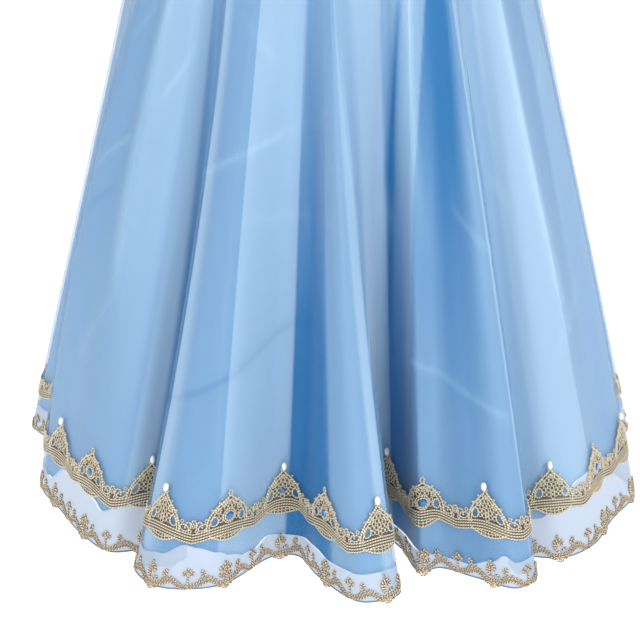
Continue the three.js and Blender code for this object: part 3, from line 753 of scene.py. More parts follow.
# %% Under-skirt's lower edge
# length, height above the hem
LINING_EDGE = [
    (0, 38), (150, 30), (227, 28), (261, 54), (291, 70), (323, 72), (347, 52), (366, 44),
    (401, 62), (440, 54), (540, 50), (583, 30), (617, 38), (647, 52), (664, 48), (691, 40),
    (708, 32), (735, 22), (754, 20), (775, 28), (807, 24), (826, 26), (861, 30), (881, 26),
    (926, 30), (978, 32), (1040, 30), (1189, 20), (1246, 24), (1261, 16), (1281, 12), (1306, 12),
    (1338, 24), (1357, 36), (1371, 28), (1410, 30), (1460, 34), (1501, 48), (1529, 72),
    (1566, 88), (1633, 86), (1700, 60), (1760, 40), (1850, 30), (1950, 44), (2050, 26),
    (2150, 38), (2250, 24), (2350, 42), (2450, 30), (2550, 36), (2650, 46), (2750, 28),
    (2850, 40), (2950, 26), (3050, 38), (3150, 44),
]


def lining_depth(length):
    """Depth of the under-skirt's edge: smooth steps between the table's rows, round and round."""
    table = np.array(LINING_EDGE, float) * MM
    at = np.concatenate([table[:, 0], [HEM_LENGTH]])
    height = np.concatenate([table[:, 1], table[:1, 1]])
    rest = length % HEM_LENGTH
    row = np.clip(np.searchsorted(at, rest, side="right") - 1, 0, len(at) - 2)
    share = smooth_step((rest - at[row]) / (at[row + 1] - at[row]))
    return SKIRT - (height[row] + (height[row + 1] - height[row]) * share)


edge = (SKIRT - lining_depth(np.linspace(0, HEM_LENGTH, 500))) / MM
print(f"the under-skirt ends {edge.min():.0f} to {edge.max():.0f} mm above the hem")


# %% [markdown]
# The under-skirt is cut in many narrow gores and pressed into folds of its own. Its colour here is
# mostly painted shading: painted highlight on lit edges and on cloth that lies against the organza
# or is double, painted shade where it falls back or turns away from the light, so that the skirt
# looks pale in one place and deep blue in the next. These strips run almost straight down the cloth
# with a soft or a sharp boundary, so each boundary is one row: where it is near the hip and near
# the hem, how soft it is, and how pale the cloth to its right is at both heights, from 0 for deep
# to 1 for pale. A few slanting lines of painted shade, and two of painted highlight, are soft lines
# like the creases. The dark ones paint the shade at the bottom of the deepest hollows. The organza
# follows the same painted shading a little, and its creases get a painted highlight, so both
# cloths carry a painted shading for each point.

# %% Under-skirt's tones
# name, length_at_hip, length_at_hem, soft, painted shading at hip, painted shading at hem
# painted shade and painted highlight in strips down the under-skirt
PAINTED_SHADING_STRIPS = [
    ("left side", 109, 109, 6, 0.42, 0.49),
    ("left face, pale", 318, 343, 30, 0.84, 0.56),
    ("left face, middle", 424, 401, 6, 0.74, 0.90),
    ("left face, falls back", 462, 436, 14, 0.30, 0.10),
    ("second crest, lit edge", 545, 548, 6, 0.95, 1.10),
    ("second face, single", 590, 596, 44, 0.40, 0.40),
    ("second face, double", 688, 690, 1.5, 0.92, 0.88),
    ("middle, falls back", 803, 800, 2, 0.52, -0.20),
    ("middle, rises", 866, 884, 16, 0.54, 0.52),
    ("middle crest, lit edge", 968, 975, 14, 0.62, 1.10),
    ("middle crest, turned", 1000, 1003, 3, 0.66, 0.40),
    ("middle crest, double", 1030, 1064, 40, 0.96, 1.00),
    ("deep hollow", 1134, 1154, 4, 0.70, 0.00),
    ("deep hollow, rises", 1185, 1208, 50, 1.00, 0.52),
    ("narrow pleat", 1240, 1236, 12, 0.68, 0.54),
    ("narrow pleat, edge", 1268, 1204, 3, 0.10, 0.48),
    ("fourth face, falls back", 1270, 1284, 40, -0.10, 0.32),
    ("fourth face, rises", 1350, 1352, 70, 0.50, 0.48),
    ("fourth crest, lit edge", 1388, 1396, 4, 0.95, 1.00),
    ("fourth crest", 1428, 1440, 4, 0.70, 0.80),
    ("right front, double", 1476, 1504, 10, 0.98, 1.00),
    ("right front, single", 1574, 1600, 5, 0.46, 0.60),
    ("right face, pale", 1660, 1640, 12, 0.74, 0.62),
    ("right side", 1790, 1800, 20, 0.55, 0.60),
    ("back 1", 1880, 1902, 24, 0.80, 0.74),
    ("back 2", 1972, 1985, 3, 0.48, 0.40),
    ("back 3", 2078, 2060, 14, 0.88, 0.80),
    ("back 4", 2165, 2190, 3, 0.56, 0.46),
    ("back 5", 2248, 2240, 30, 0.74, 0.84),
    ("back 6", 2366, 2350, 2, 0.34, 0.44),
    ("back 7", 2440, 2462, 16, 0.82, 0.72),
    ("back 8", 2560, 2540, 3, 0.42, 0.52),
    ("back 9", 2655, 2668, 22, 0.90, 0.78),
    ("back 10", 2748, 2740, 4, 0.50, 0.36),
    ("back 11", 2852, 2870, 18, 0.78, 0.82),
    ("back 12", 2950, 2940, 3, 0.52, 0.44),
    ("back 13", 3050, 3066, 26, 0.84, 0.70),
    ("back 14", 3170, 3150, 4, 0.46, 0.54),
    ("back 15", 3250, 3262, 20, 0.66, 0.60),
]
# depths at which the rows give the strips' two ends
STRIPS_HIP, STRIPS_HEM = 0.30, 0.78
# from_length, from_depth, to_length, to_depth, tone (painted shade where negative, painted
# highlight where positive), width
# slanting lines of painted shade, and two of painted highlight
PAINTED_SHADING_LINES = [
    (1188, 270, 1148, 520, -0.60, 10), (1158, 500, 1166, 950, -0.35, 9),
    (1198, 370, 1206, 720, 0.26, 15), (556, 320, 520, 560, 0.10, 12),
    (2390, 300, 2366, 620, -0.30, 12), (2010, 320, 1990, 700, -0.22, 12),
    (2762, 360, 2750, 820, -0.25, 13), (3178, 300, 3160, 760, -0.22, 12),
]


def painted_shading_at(length, depth):
    """Painted shading of the under-skirt, from painted shade at 0 to painted highlight at 1: it
    changes at each strip's boundary over the row's softness, and the slanting lines add to it.
    """
    first = PANELS["front"][0]
    rest = first + (length - first) % HEM_LENGTH
    share = np.clip((depth - STRIPS_HIP) / (STRIPS_HEM - STRIPS_HIP), -0.4, 1.3)
    painted_shading = 0
    before = np.zeros(2)
    for _, at_hip, at_hem, soft, *tones in PAINTED_SHADING_STRIPS:
        line = (at_hip + (at_hem - at_hip) * share) * MM
        step = smooth_step(np.clip((rest - line) / (soft * MM) + 0.5, 0, 1))
        change = np.array(tones) - before
        painted_shading = painted_shading + (change[0] + (change[1] - change[0]) * np.clip(share, 0, 1)) * step
        before = np.array(tones)
    return painted_shading + soft_lines(PAINTED_SHADING_LINES, length, depth)


print(len(PAINTED_SHADING_STRIPS), "strips and", len(PAINTED_SHADING_LINES), "slanting shades")

# %% [markdown]
# The organza's grid follows the under-skirt's lower edge, so that the hem's paler, denser copy of
# the organza, with the light through it painted in, starts exactly there: its upper rows end just
# above that edge and a dozen more go on to the hem. A mask painted over one even grid would give
# that boundary steps.

# %% Skirt panels
SKIRT_STEP = {"front": 0.0040, "back": 0.0044}
SKIRT_ROW = 0.0045
CREASE_PAINTED_HIGHLIGHT = 0.0030
ORGANZA_PAINTED_SHADING = 0.36
HEM_ROWS = 12
HEM_OVERLAP = 0.002
WAIST_DROP = 0.0003


def panel_grid(side, step, row, lowest):
    """Lengths and depths of a panel's grid. lowest gives the depth of the lower edge."""
    start, stop = PANELS[side]
    length = np.linspace(start, stop, round((stop - start) / step) + 1)[None, :]
    share = np.linspace(0, 1, round(SKIRT / row) + 1)[:, None]
    depth = WAIST_DROP + (lowest(length) - WAIST_DROP) * share
    return np.broadcast_to(length, depth.shape), depth


def set_painted_shading(piece, values):
    """Writes the painted shading of each point, which the cloth's colour reads."""
    tones = piece.data.attributes.new("painted_shading", "FLOAT", "POINT")
    tones.data.foreach_set("value", np.asarray(values, np.float32).ravel())


def skirt_panel(side):
    """Organza on the skirt's surface. Its painted shading is a share of the under-skirt's, made
    steeper, and a crease's ridge gets a painted highlight, paler than the cloth beside it, while a
    crease that dips gets painted shade."""
    length, upper = panel_grid(
        side, SKIRT_STEP[side], SKIRT_ROW, lambda length: lining_depth(length) - HEM_OVERLAP
    )
    lower = upper[-1] + (SKIRT - upper[-1]) * np.linspace(0, 1, HEM_ROWS + 1)[1:, None]
    depth = np.concatenate([upper, lower])
    length = np.broadcast_to(length[:1], depth.shape)
    row_cells = length.shape[1] - 1
    below = np.repeat([0, 1], [(len(upper) - 1) * row_cells, HEM_ROWS * row_cells])
    points = skirt_surface(length, depth)
    cloths = [organza, hem_organza_painted_light]
    piece = grid_piece(f"organza_{side}", points, length, depth, cloths, below)
    # painted shade and highlight: a share of the under-skirt's painted shading, plus a painted
    # highlight along crease ridges
    shade = np.clip(painted_shading_at(length, depth) / 0.5 + 0.2, 0, 1)
    set_painted_shading(piece, ORGANZA_PAINTED_SHADING * shade + creases(length, depth) / CREASE_PAINTED_HIGHLIGHT)
    return piece


skirt_pieces = {side: skirt_panel(side) for side in PANELS}

# %% Under-skirt panels
LINING_STEP = 0.0033
LINING_ROW = 0.0120
# a wider step than the organza's for the outward direction keeps tight folds from crossing
LINING_STEP_OUT = 0.004


def lining_surface(length, depth):
    """The cloth moved in: a little at the waist seam, and by the full inset from a hand's width
    below it."""
    ease = np.clip(depth / LINING_EASE, 0, 1)
    inset = LINING_TOP_INSET + (LINING_INSET - LINING_TOP_INSET) * ease
    out = facing(length, depth, LINING_STEP_OUT)
    return cloth(length, depth) + out * (relief(length, depth) - inset)[..., None]


def lining_panel(side):
    """Opaque cloth on the inner surface, down to the table's edge."""
    length, depth = panel_grid(side, LINING_STEP, LINING_ROW, lining_depth)
    points = lining_surface(length, depth)
    piece = grid_piece(f"under_skirt_{side}", points, length, depth, [satin_lining])
    # the under-skirt's painted shade and painted highlight, written on each point
    set_painted_shading(piece, painted_shading_at(length, depth))
    return piece


lining_pieces = {side: lining_panel(side) for side in PANELS}

# %% [markdown]
# ## Gold cord
# The lace is a corded guipure: a twisted metallic cord laid in loops and sewn to a fine net,
# with a pearl on the tip of one motif and a cut stone in the middle of the next. There are 36
# motifs round the hem, pearl and stone in turn. So one repeat is drawn once, in millimetres: u
# along the hem from the motif's middle, v above the hem. Each cord is a row of points there. It
# becomes a tube on the cloth by three steps: the points are carried to the cloth's surface, a
# small ring is set on each of them square to the cord, and neighbouring rings are joined. Curves
# with a bevel would give such tubes too, but hundreds of them, and arrays make all copies of a
# motif at once, each bent to its own place on the cloth.

# %% Cords in the drawing
CORD_SIDES = 5
CORD_STEP = 2.3
CORD_RADIUS = 0.9
CORD_LIFT = 1.1


def even_steps(points, step):
    """The same line with points at even steps. Columns: u, v, run along the line."""
    points = np.asarray(points, float)
    reach = run_along(points)
    run = np.linspace(0, reach[-1], max(3, round(reach[-1] / step)) + 1)
    u, v = (np.interp(run, reach, column) for column in points.T)
    return np.stack([u, v, run], 1)


def cord(points, radius=CORD_RADIUS, lift=CORD_LIFT, step=CORD_STEP):
    """Rows of one cord: u, v, run, direction in u and v, radius, lift, and 1 where it starts.
    Radius and lift, the height of its middle above the cloth, are in millimetres too."""
    line = even_steps(points, step)
    way = unit(np.gradient(line[:, :2], axis=0))
    size = np.full((len(line), 2), (radius, lift))
    rows = np.column_stack([line, way, size, np.zeros(len(line))])
    rows[0, -1] = 1
    return rows


print("a cord 30 mm long has", len(cord([(0, 0), (30, 0)])), "rings")

# %% Tubes on the cloth
def cord_points(template, places):
    """Rings of points round each cord, for a template set at several lengths. A ring is square
    to the cord: it goes round through the cloth's outward direction and the cord's side."""
    u, v, _, du, dv, radius, lift, _ = template.T
    length = np.asarray(places)[:, None] + u * MM
    depth = SKIRT - np.broadcast_to(v * MM, length.shape)
    normal = facing(length, depth)
    centre = cloth(length, depth) + normal * (relief(length, depth, False) + lift * MM)[..., None]
    along_hem = cloth(length + MM, depth) - cloth(length - MM, depth)
    upward = cloth(length, depth - MM) - cloth(length, depth + MM)
    tangent = unit(along_hem * du[:, None] + upward * dv[:, None])
    side = unit(np.cross(tangent, normal))
    turn = 2 * np.pi * np.arange(CORD_SIDES) / CORD_SIDES
    ring = np.cos(turn)[:, None] * normal[..., None, :] + np.sin(turn)[:, None] * side[..., None, :]
    return (centre[..., None, :] + ring * (radius * MM)[:, None, None]).reshape(-1, 3)


def tube_map(low, high, sides, girth=1.0):
    """Map of a tube's side faces: from low to high along it, and round it from 0 to girth."""
    side = np.arange(sides) / sides * girth
    step = girth / sides
    corner_u = np.stack([low, low, high, high], -1)[:, None]
    corner_v = np.stack([side, side + step, side + step, side], -1)[None]
    return np.stack(np.broadcast_arrays(corner_u, corner_v), -1)


def cord_tubes(template, places):
    """Points, side faces, end faces and the side faces' map for a template at several lengths.
    Every point but a cord's last is joined to the next one."""
    run, first = template[:, 2], template[:, -1]
    count = len(template)
    start = np.flatnonzero(first)
    stop = np.append(start[1:], count) - 1
    joined = np.setdiff1d(np.arange(count), stop)
    copies = np.arange(len(places))[:, None] * count
    quads = ring_faces((copies + joined) * CORD_SIDES, CORD_SIDES)
    maps = tube_map(run[joined] * MM, run[joined + 1] * MM, CORD_SIDES)
    maps = np.broadcast_to(maps, (len(places), *maps.shape))
    side = np.arange(CORD_SIDES)
    ends = np.concatenate([
        ((copies + start) * CORD_SIDES)[..., None] + side[::-1],
        ((copies + stop) * CORD_SIDES)[..., None] + side,
    ])
    points = cord_points(template, places)
    return points, quads.reshape(-1, 4), maps.reshape(-1, 2), ends.reshape(-1, CORD_SIDES)


print("a cord 30 mm long has", len(cord_tubes(cord([(0, 0), (30, 0)]), [0.0])[1]), "side faces")

# %% Drawing helpers
def ellipse(u, v, half_u, half_v, count=14, start=0.0, turn=360.0):
    """Points round an ellipse, or along a part of it, in degrees from straight right."""
    at = np.radians(np.linspace(start, start + turn, count + 1))
    return np.column_stack([u + half_u * np.cos(at), v + half_v * np.sin(at)])


def mirrored(points):
    """The same line on the other side of the motif's middle."""
    return np.asarray(points) * (-1, 1)


def scallop(half, low, rise, count=16):
    """A shallow curve, half wide to each side: the height grows with the square of u."""
    u = np.linspace(-half, half, count + 1)
    return np.column_stack([u, low + rise * (u / half) ** 2])


def leaf(u, v, half_long, half_wide, lean, count=12):
    """A leaf: an ellipse with pointed ends, turned by lean degrees."""
    at = np.radians(np.linspace(0, 360, count + 1))
    long, wide = half_long * np.cos(at), half_wide * np.sin(at) * np.abs(np.sin(at)) ** 0.5
    turn = math.radians(lean)
    return np.column_stack([
        u + long * math.cos(turn) - wide * math.sin(turn),
        v + long * math.sin(turn) + wide * math.cos(turn),
    ])


def rings(table, count, radius, sides=(-1, 1)):
    """Round cords from rows of middle u, middle v, half width and half height, on both sides."""
    return [
        cord(ellipse(u * side, v, half_u, half_v, count), radius)
        for side in sides for u, v, half_u, half_v in table
    ]


print("a ring of 7 steps 5 mm wide is a cord of", len(rings([(0, 0, 2.5, 2.5)], 7, 0.8, [1])[0]))


# %% [markdown]
# ## The lace band
# Its lower edge is a braid of four cords that waves up under each motif, where a fan of short
# bars hangs below it. On the braid stand bells, one with a pearl on its tip in one repeat and
# one with a set stone in the next, both filled with rings of small eyelets. Leaves and a row of
# low arches join the bells. Such lace could be a flat strip with a picture of holes, but real
# cords catch the light one by one and cast small shadows on the cloth, so each is drawn here.

# %% Bells
# height above the hem, half width
PEARL_BELL = [
    (70, 27), (76, 26.6), (82, 25), (88, 22), (93, 18.4), (98, 14.2), (102, 10.4), (106, 6.2),
    (109, 3), (112, 0.6),
]
STONE_BELL = [
    (70, 29), (76, 29), (82, 28), (88, 25.6), (93, 22.2), (98, 17.4), (102, 12.4), (105, 7.8),
    (108, 3.4), (111, 0.6),
]
PEARL_MIDDLE = 84.0
STONE_MIDDLE = 86.0
BELL_FOOT = 70.0


def bell(rows, shrink=1.0):
    """Both sides of a bell from a table of heights and half widths, shrunk about its foot."""
    rows = np.asarray(rows, float)
    height = BELL_FOOT + (rows[:, 0] - BELL_FOOT) * shrink
    left = np.column_stack([-rows[:, 1] * shrink, height])
    return np.concatenate([left, mirrored(left)[::-1]])


print("bells stand up to", PEARL_BELL[-1][0], "and", STONE_BELL[-1][0], "mm above the hem")

# %% Braid and valley
MOTIF_HALF = DRAWN_REPEAT / 2
BRAID_ROWS = 4
BRAID_LOW, BRAID_PITCH, BRAID_RISE = 56.6, 3.4, 8.1
FAN_HALF, FAN_RISE, FAN_TOP = 24, 6.8, 64.4


def braid_height(u, row):
    """The braid is highest under each motif and comes to a blunt point half way between two."""
    wave = np.abs(np.cos(np.pi * np.asarray(u) / DRAWN_REPEAT)) ** 1.3
    return BRAID_LOW + BRAID_PITCH * row + BRAID_RISE * wave


def braid():
    """Rows of cord side by side, and under the motif a fan of short bars inside two arcs."""
    u = np.linspace(-MOTIF_HALF, MOTIF_HALF, 25)
    lines = [np.column_stack([u, braid_height(u, row)]) for row in range(BRAID_ROWS)]
    rows = [cord(line, 0.95, 1.2, 3.2) for line in lines]
    rows.append(cord(scallop(FAN_HALF, BRAID_LOW, FAN_RISE), 1.0, 1.1, 3.0))
    rows.append(cord(scallop(18, 60.6, 3.0, 10), 0.7, 1.1, 3.0))
    for u in np.arange(-15, 15.1, 5):
        foot = BRAID_LOW + 0.6 + FAN_RISE * (u / FAN_HALF) ** 2
        rows.append(cord([(u, foot), (0.94 * u, FAN_TOP)], 0.6, 1.0, 3.4))
    return rows


def valley():
    """Leaves and small rings beside a bell, and the arches between it and the next."""
    rows = []
    for side in (-1, 1):
        rows.append(cord(leaf(33.5 * side, 75.4, 6.6, 3.8, -24 * side), 0.9))
        rows += rings([(29.6, 83.2, 2.2, 2.2), (41, 71, 2.2, 2.0)], 7, 0.8, [side])
    for aside, high in ((-7.4, 6.2), (0, 8.4), (7.4, 6.2)):
        rows.append(cord(ellipse(MOTIF_HALF + aside, 76, 3.9, high, 12, -14, 208), 0.95))
    return rows + rings([(MOTIF_HALF, 77.4, 1.6, 3.2)], 7, 0.75, [1])


print(len(braid()), "cords in the braid,", len(valley()), "in a valley")

# %% Windows and eyelets
# u, v, half width, half height, lean in degrees: open windows on each side inside a bell
BELL_WINDOWS = {
    "pearl": [(17.4, 82.4, 5.0, 6.8, 24), (11.2, 95.8, 3.2, 4.4, 28)],
    "stone": [(19.4, 81.4, 5.2, 6.0, 22), (15.2, 94.0, 3.8, 3.4, 0), (8.0, 101.0, 2.6, 2.4, 0)],
}


def in_window(kind, aside, v, room=0.0):
    """True where a point lies in a window's leaning ellipse, or within room of it. aside is its
    distance from the motif's middle line, on either side."""
    inside = np.zeros(np.broadcast(aside, v).shape, bool)
    for window_u, window_v, half_u, half_v, lean in BELL_WINDOWS[kind]:
        turn = math.radians(lean)
        off_u, off_v = aside - window_u, v - window_v
        across = off_u * math.cos(turn) + off_v * math.sin(turn)
        upward = off_v * math.cos(turn) - off_u * math.sin(turn)
        inside |= np.hypot(across / (half_u + room), upward / (half_v + room)) < 1
    return inside


def windows(kind):
    """Thicker loops round the windows, on both sides."""
    rows = []
    for u, v, half_u, half_v, lean in BELL_WINDOWS[kind]:
        loop = leaf(0, 0, half_v, half_u, 90 + lean) + (u, v)
        rows += [cord(loop, 0.9, 1.15), cord(mirrored(loop), 0.9, 1.15)]
    return rows


EYELET_RINGS = 6
EYELET_SIZE = 0.47
EYELET_ROOM = 0.36
TIP_ROOM = 6


def eyelets(kind, rows, middle, first_ring, pitch, shrink=0.86):
    """Small round loops in rings round a middle, inside a bell and outside its windows. Rings
    are a little closer than pitch, and loops in every other ring stand between those before."""
    heights, halves = np.array(rows, float).T
    loops = []
    for ring in range(EYELET_RINGS):
        distance = first_ring + ring * pitch * 0.96
        count = max(5, round(2 * math.pi * distance / pitch))
        for at in 2 * math.pi * (np.arange(count) + 0.5 * (ring % 2)) / count:
            u, v = distance * math.sin(at), middle + distance * math.cos(at)
            edge = np.interp(v, heights, halves) * shrink - pitch * 0.3
            low = braid_height(u, BRAID_ROWS - 1) + pitch * 0.5
            fits = abs(u) < edge and low < v < heights[-1] - TIP_ROOM
            if fits and not in_window(kind, abs(u), v, pitch * EYELET_ROOM):
                half = pitch * EYELET_SIZE
                loops.append(cord(ellipse(u, v, half, half, 7), 0.6, 0.95, 2.1))
    return loops


for kind in BELL_WINDOWS:
    print(f"{kind} bell: {len(windows(kind))} window loops")

# %% Two motifs
RIM_SHRINK = 0.88
# the pointed loop that stands on a stone's bell
STONE_LOOP = [(0, 110), (-2.6, 113), (-2.0, 116.4), (0, 118.4), (2.0, 116.4), (2.6, 113), (0, 110)]


def rims(table):
    """A bell's outline and a thinner one inside it."""
    return [cord(bell(table), 1.1), cord(bell(table, RIM_SHRINK), 0.85)]


def pearl_motif():
    """The bell filled with rings of eyelets, and the cup that carries the pearl."""
    rows = rims(PEARL_BELL) + rings([(0, PEARL_MIDDLE, 2.4, 2.4)], 7, 0.8, [1])
    rows += eyelets("pearl", PEARL_BELL, PEARL_MIDDLE, 5.4, 5.4) + windows("pearl")
    rows.append(cord(ellipse(0, 117.4, 4.0, 5.6, 12, 205, 130), 0.8, 1.2))
    rows += rings([(19.6, 94.6, 1.5, 1.5), (11.6, 104.6, 1.3, 1.3)], 7, 0.8)
    return np.concatenate(rows + braid() + valley())


def stone_motif():
    """The bell with two rims round its stone, larger eyelets, and a pointed loop above."""
    rows = rims(STONE_BELL)
    rows.append(cord(ellipse(0, STONE_MIDDLE, 6.0, 6.0, 16), 1.0, 1.5))
    rows += rings([(0, STONE_MIDDLE, 8.6, 8.6)], 18, 0.85, [1])
    rows += eyelets("stone", STONE_BELL, STONE_MIDDLE, 12.0, 5.6, 0.88) + windows("stone")
    rows.append(cord(STONE_LOOP))
    rows += rings([(13.6, 103.4, 1.5, 1.5), (22.8, 95, 1.7, 1.7)], 7, 0.8)
    return np.concatenate(rows + braid() + valley())


templates = {"pearl": pearl_motif(), "stone": stone_motif()}
print({kind: len(rows) for kind, rows in templates.items()}, "cord points in a repeat")

# %% Net behind the cords
NET_LIFT = 0.7
NET_COLUMNS, NET_ROWS = 40, 19
NET_CELL_U = REPEAT * 1000 / NET_COLUMNS
NET_CELL_V = 3.0
NET_LOW = 56
PLACES_A_METRE = 1e5
# corners of a cell, in cells from its middle
CELL = np.array([(-0.5, -0.5), (0.5, -0.5), (0.5, 0.5), (-0.5, 0.5)])
# middle u, middle v, half u, half v of the openings between bells
NET_WINDOWS = [
    (33.5, 75.4, 5.0, 2.6), (45.5, 78.5, 2.4, 4.0), (38.1, 77, 2.2, 3.4), (27.4, 68.5, 3.0, 1.6),
]


def net_cells(kind, rows):
    """Corners of the net's cells in one repeat: inside the lace's outline, outside its windows.
    The outline is the bell's, and between bells the tops of the arches, which rise a little."""
    rows = np.asarray(rows, float)
    u = (np.arange(NET_COLUMNS) - NET_COLUMNS / 2 + 0.5) * NET_CELL_U
    v = NET_LOW + NET_CELL_V * (np.arange(NET_ROWS) + 0.5)
    u, v = (grid.ravel() for grid in np.meshgrid(u, v))
    aside = np.abs(u)
    bell_edge = np.interp(v, rows[:, 0], rows[:, 1], left=26, right=-1)
    fan = BRAID_LOW + FAN_RISE * (aside / FAN_HALF) ** 2
    low = np.minimum(fan, braid_height(aside, 0) - 0.8)
    arches = 77.5 + 5 * np.clip((aside - 36) / 6, 0, 1)
    inside = (aside < bell_edge + 0.4) | ((aside >= FAN_HALF) & (v < arches))
    keep = (v > low) & inside & ~in_window(kind, aside, v)
    for middle_u, middle_v, half_u, half_v in NET_WINDOWS:
        keep &= np.hypot((aside - middle_u) / half_u, (v - middle_v) / half_v) > 1
    return np.column_stack([u[keep], v[keep]])[:, None] + CELL * (NET_CELL_U, NET_CELL_V)


def net_sheet(cells, places):
    """Points, faces and maps of the net at several lengths. Corners in one place are one point."""
    length = np.asarray(places)[:, None, None] + cells[None, ..., 0] * MM
    depth = SKIRT - np.broadcast_to(cells[None, ..., 1], length.shape) * MM
    points = skirt_surface(length, depth, NET_LIFT * MM, False).reshape(-1, 3)
    maps = np.stack([length, depth], -1).reshape(-1, 2)
    place = np.round(maps * PLACES_A_METRE).astype(np.int64)
    _, chosen, faces = np.unique(place, axis=0, return_index=True, return_inverse=True)
    return points[chosen], faces.reshape(-1, 4), maps


nets = {"pearl": net_cells("pearl", PEARL_BELL), "stone": net_cells("stone", STONE_BELL)}
print({kind: len(cells) for kind, cells in nets.items()}, "net cells in a repeat")

# %% Band pieces
def peaks(side, kind):
    """Lengths along the hem of the motifs of one kind whose middle lies on a panel."""
    parity = {"pearl": 0, "stone": 1}[kind]
    place = FIRST_PEAK + REPEAT * np.arange(parity, REPEATS, 2)
    start, stop = PANELS[side]
    place = start + (place - start) % HEM_LENGTH
    return place[place < stop - 1e-9]


def no_map(faces):
    """Map coordinates of faces too small to show a pattern: all at zero."""
    return np.zeros((faces.size, 2))


def lace_piece(name, side, cords, sheets, metal):
    """One piece of lace on a panel: cords of the given metal first, then the net. The parts'
    points follow one another, so the faces of each part count on from the points before it."""
    parts = [cord_tubes(cords[kind], peaks(side, kind)) for kind in cords]
    parts += [(*net_sheet(sheets[kind], peaks(side, kind)), None) for kind in sheets]
    quads, ends, kinds = [], [], []
    first = 0
    for points, faces, _, caps in parts:
        quads.append(faces + first)
        kinds.append(np.full(len(faces), caps is None))
        if caps is not None:
            ends.append(caps + first)
        first += len(points)
    maps = [part[2] for part in parts] + [no_map(caps) for caps in ends]
    kinds.append(np.zeros(sum(len(caps) for caps in ends), bool))
    points = np.concatenate([part[0] for part in parts])
    materials = [metal, gold_net_painted_shade] if sheets else [metal]
    return new_piece(name, points, quads + ends, maps, materials, np.concatenate(kinds))


band_pieces = {
    side: lace_piece(f"lace_band_{side}", side, templates, nets, gold_cord) for side in PANELS
}

# %% [markdown]
# ## The hem's edging
# A narrow lace runs round the hem: two cords wave up and down side by side with a zigzag between
# them, a loop hangs under the cloth's edge at each motif, and small sprigs stand above. It is
# drawn and set as the band is, because it follows the same cloth, but it has no net. The
# cloth's own edge is rolled and oversewn, and shows as a fine blue-grey line.

# %% Vine
VINE_MIDDLE, VINE_WAVE, VINE_RIPPLE, VINE_SHIFT = 5.6, 3.6, 0.9, 0.6
VINE_APART = 2.1
ZIGZAG_APART, ZIGZAGS = 2.0, 36


def vine_line(shift, count=44):
    """The waving line through one repeat: two waves and a ripple twice as close. It is moved
    sideways by shift, square to its own slope."""
    u = np.linspace(-MOTIF_HALF, MOTIF_HALF, count + 1)
    turn = 2 * np.pi * u / MOTIF_HALF
    ripple = 2 * turn + VINE_SHIFT
    v = VINE_MIDDLE - VINE_WAVE * np.cos(turn) + VINE_RIPPLE * np.sin(ripple)
    rise = VINE_WAVE * np.sin(turn) + 2 * VINE_RIPPLE * np.cos(ripple)
    slope = rise * 2 * np.pi / MOTIF_HALF
    size = np.hypot(1, slope)
    return np.column_stack([u - shift * slope / size, v + shift / size])


def vine_zigzag():
    """A thin cord that crosses from one of the vine's cords to the other and back."""
    lower, upper = vine_line(-ZIGZAG_APART, ZIGZAGS), vine_line(ZIGZAG_APART, ZIGZAGS)
    return np.where((np.arange(ZIGZAGS + 1) % 2 == 0)[:, None], lower, upper)


# u, v, half width: small knots that make the vine bushy
VINE_KNOTS = [
    (-39, 4.2, 1.5), (-33, 8.8, 1.8), (-28.5, 12.4, 2.2), (-22, 13.2, 2.0), (-17, 11.4, 1.8),
    (-12, 7.8, 1.6), (10, 5.6, 1.6), (14.5, 9.6, 1.8), (19, 13, 2.2), (25, 13.4, 2.0),
    (30, 11, 1.8), (35, 7.6, 1.6),
]


def vine():
    """The two waving cords, the zigzag between them, and the knots."""
    rows = [cord(vine_line(-VINE_APART), 0.95), cord(vine_line(VINE_APART), 0.95)]
    rows.append(cord(vine_zigzag(), 0.65, 1.1, 3.0))
    return rows + rings([(u, v, half, half) for u, v, half in VINE_KNOTS], 6, 0.8, [1])


print(len(vine()), "cords in one repeat of the vine")

# %% Sprigs
# lines of the comma-shaped sprig: outer, inner, and the small stem beside it
COMMA = [(-1, 8), (-4.6, 12), (-6, 17), (-4.4, 21.8), (0, 24), (4, 22.4), (4.8, 18.6), (2, 16.2)]
COMMA_FILL = [(-2.2, 13), (-3.2, 17.2), (-1.8, 20.2), (1.4, 20.8)]
COMMA_STEM = [(2, 8), (5, 11.6), (7.6, 12.4), (8.8, 9.8)]
PETALS = [(0, 25, 2.4, 3.2), (0, 16.6, 2.0, 2.4), (-4.8, 20.8, 2.9, 2.3), (4.8, 20.8, 2.9, 2.3)]
TREFOIL = [(MOTIF_HALF, 22.2, 2.3, 2.4), (41.6, 18.8, 2.3, 2.4), (49.4, 18.8, 2.3, 2.4)]


def curl():
    """A comma-shaped sprig, filled like a paisley, with a dot above it."""
    rows = [cord(COMMA, 1.6, 1.5), cord(COMMA_FILL, 1.4, 1.4)]
    return rows + rings([(-1, 27.8, 1.5, 1.5)], 7, 1.0, [1]) + [cord(COMMA_STEM, 1.3)]


def cross():
    """Four petals on a short stem."""
    rows = [cord([(0, 6), (0, 14)], 1.5)] + rings(PETALS, 10, 1.35, [1])
    for u, lean in ((-5.6, 140), (5.6, 40)):
        rows.append(cord(leaf(u, 12, 3.4, 2.0, lean, 9), 1.1))
    return rows


def hem_loops():
    """The loop that hangs under the cloth's edge, with a small one in it and one at each side."""
    rows = rings([(0, -1.2, 4.6, 3.6)], 12, 1.0, [1]) + rings([(0, -1.0, 1.9, 1.5)], 7, 0.95, [1])
    return rows + rings([(7.0, 0.6, 2.8, 2.6)], 8, 1.05)


print(f"{len(curl())} cords in a curl, {len(cross())} in a cross, {len(hem_loops())} hem loops")

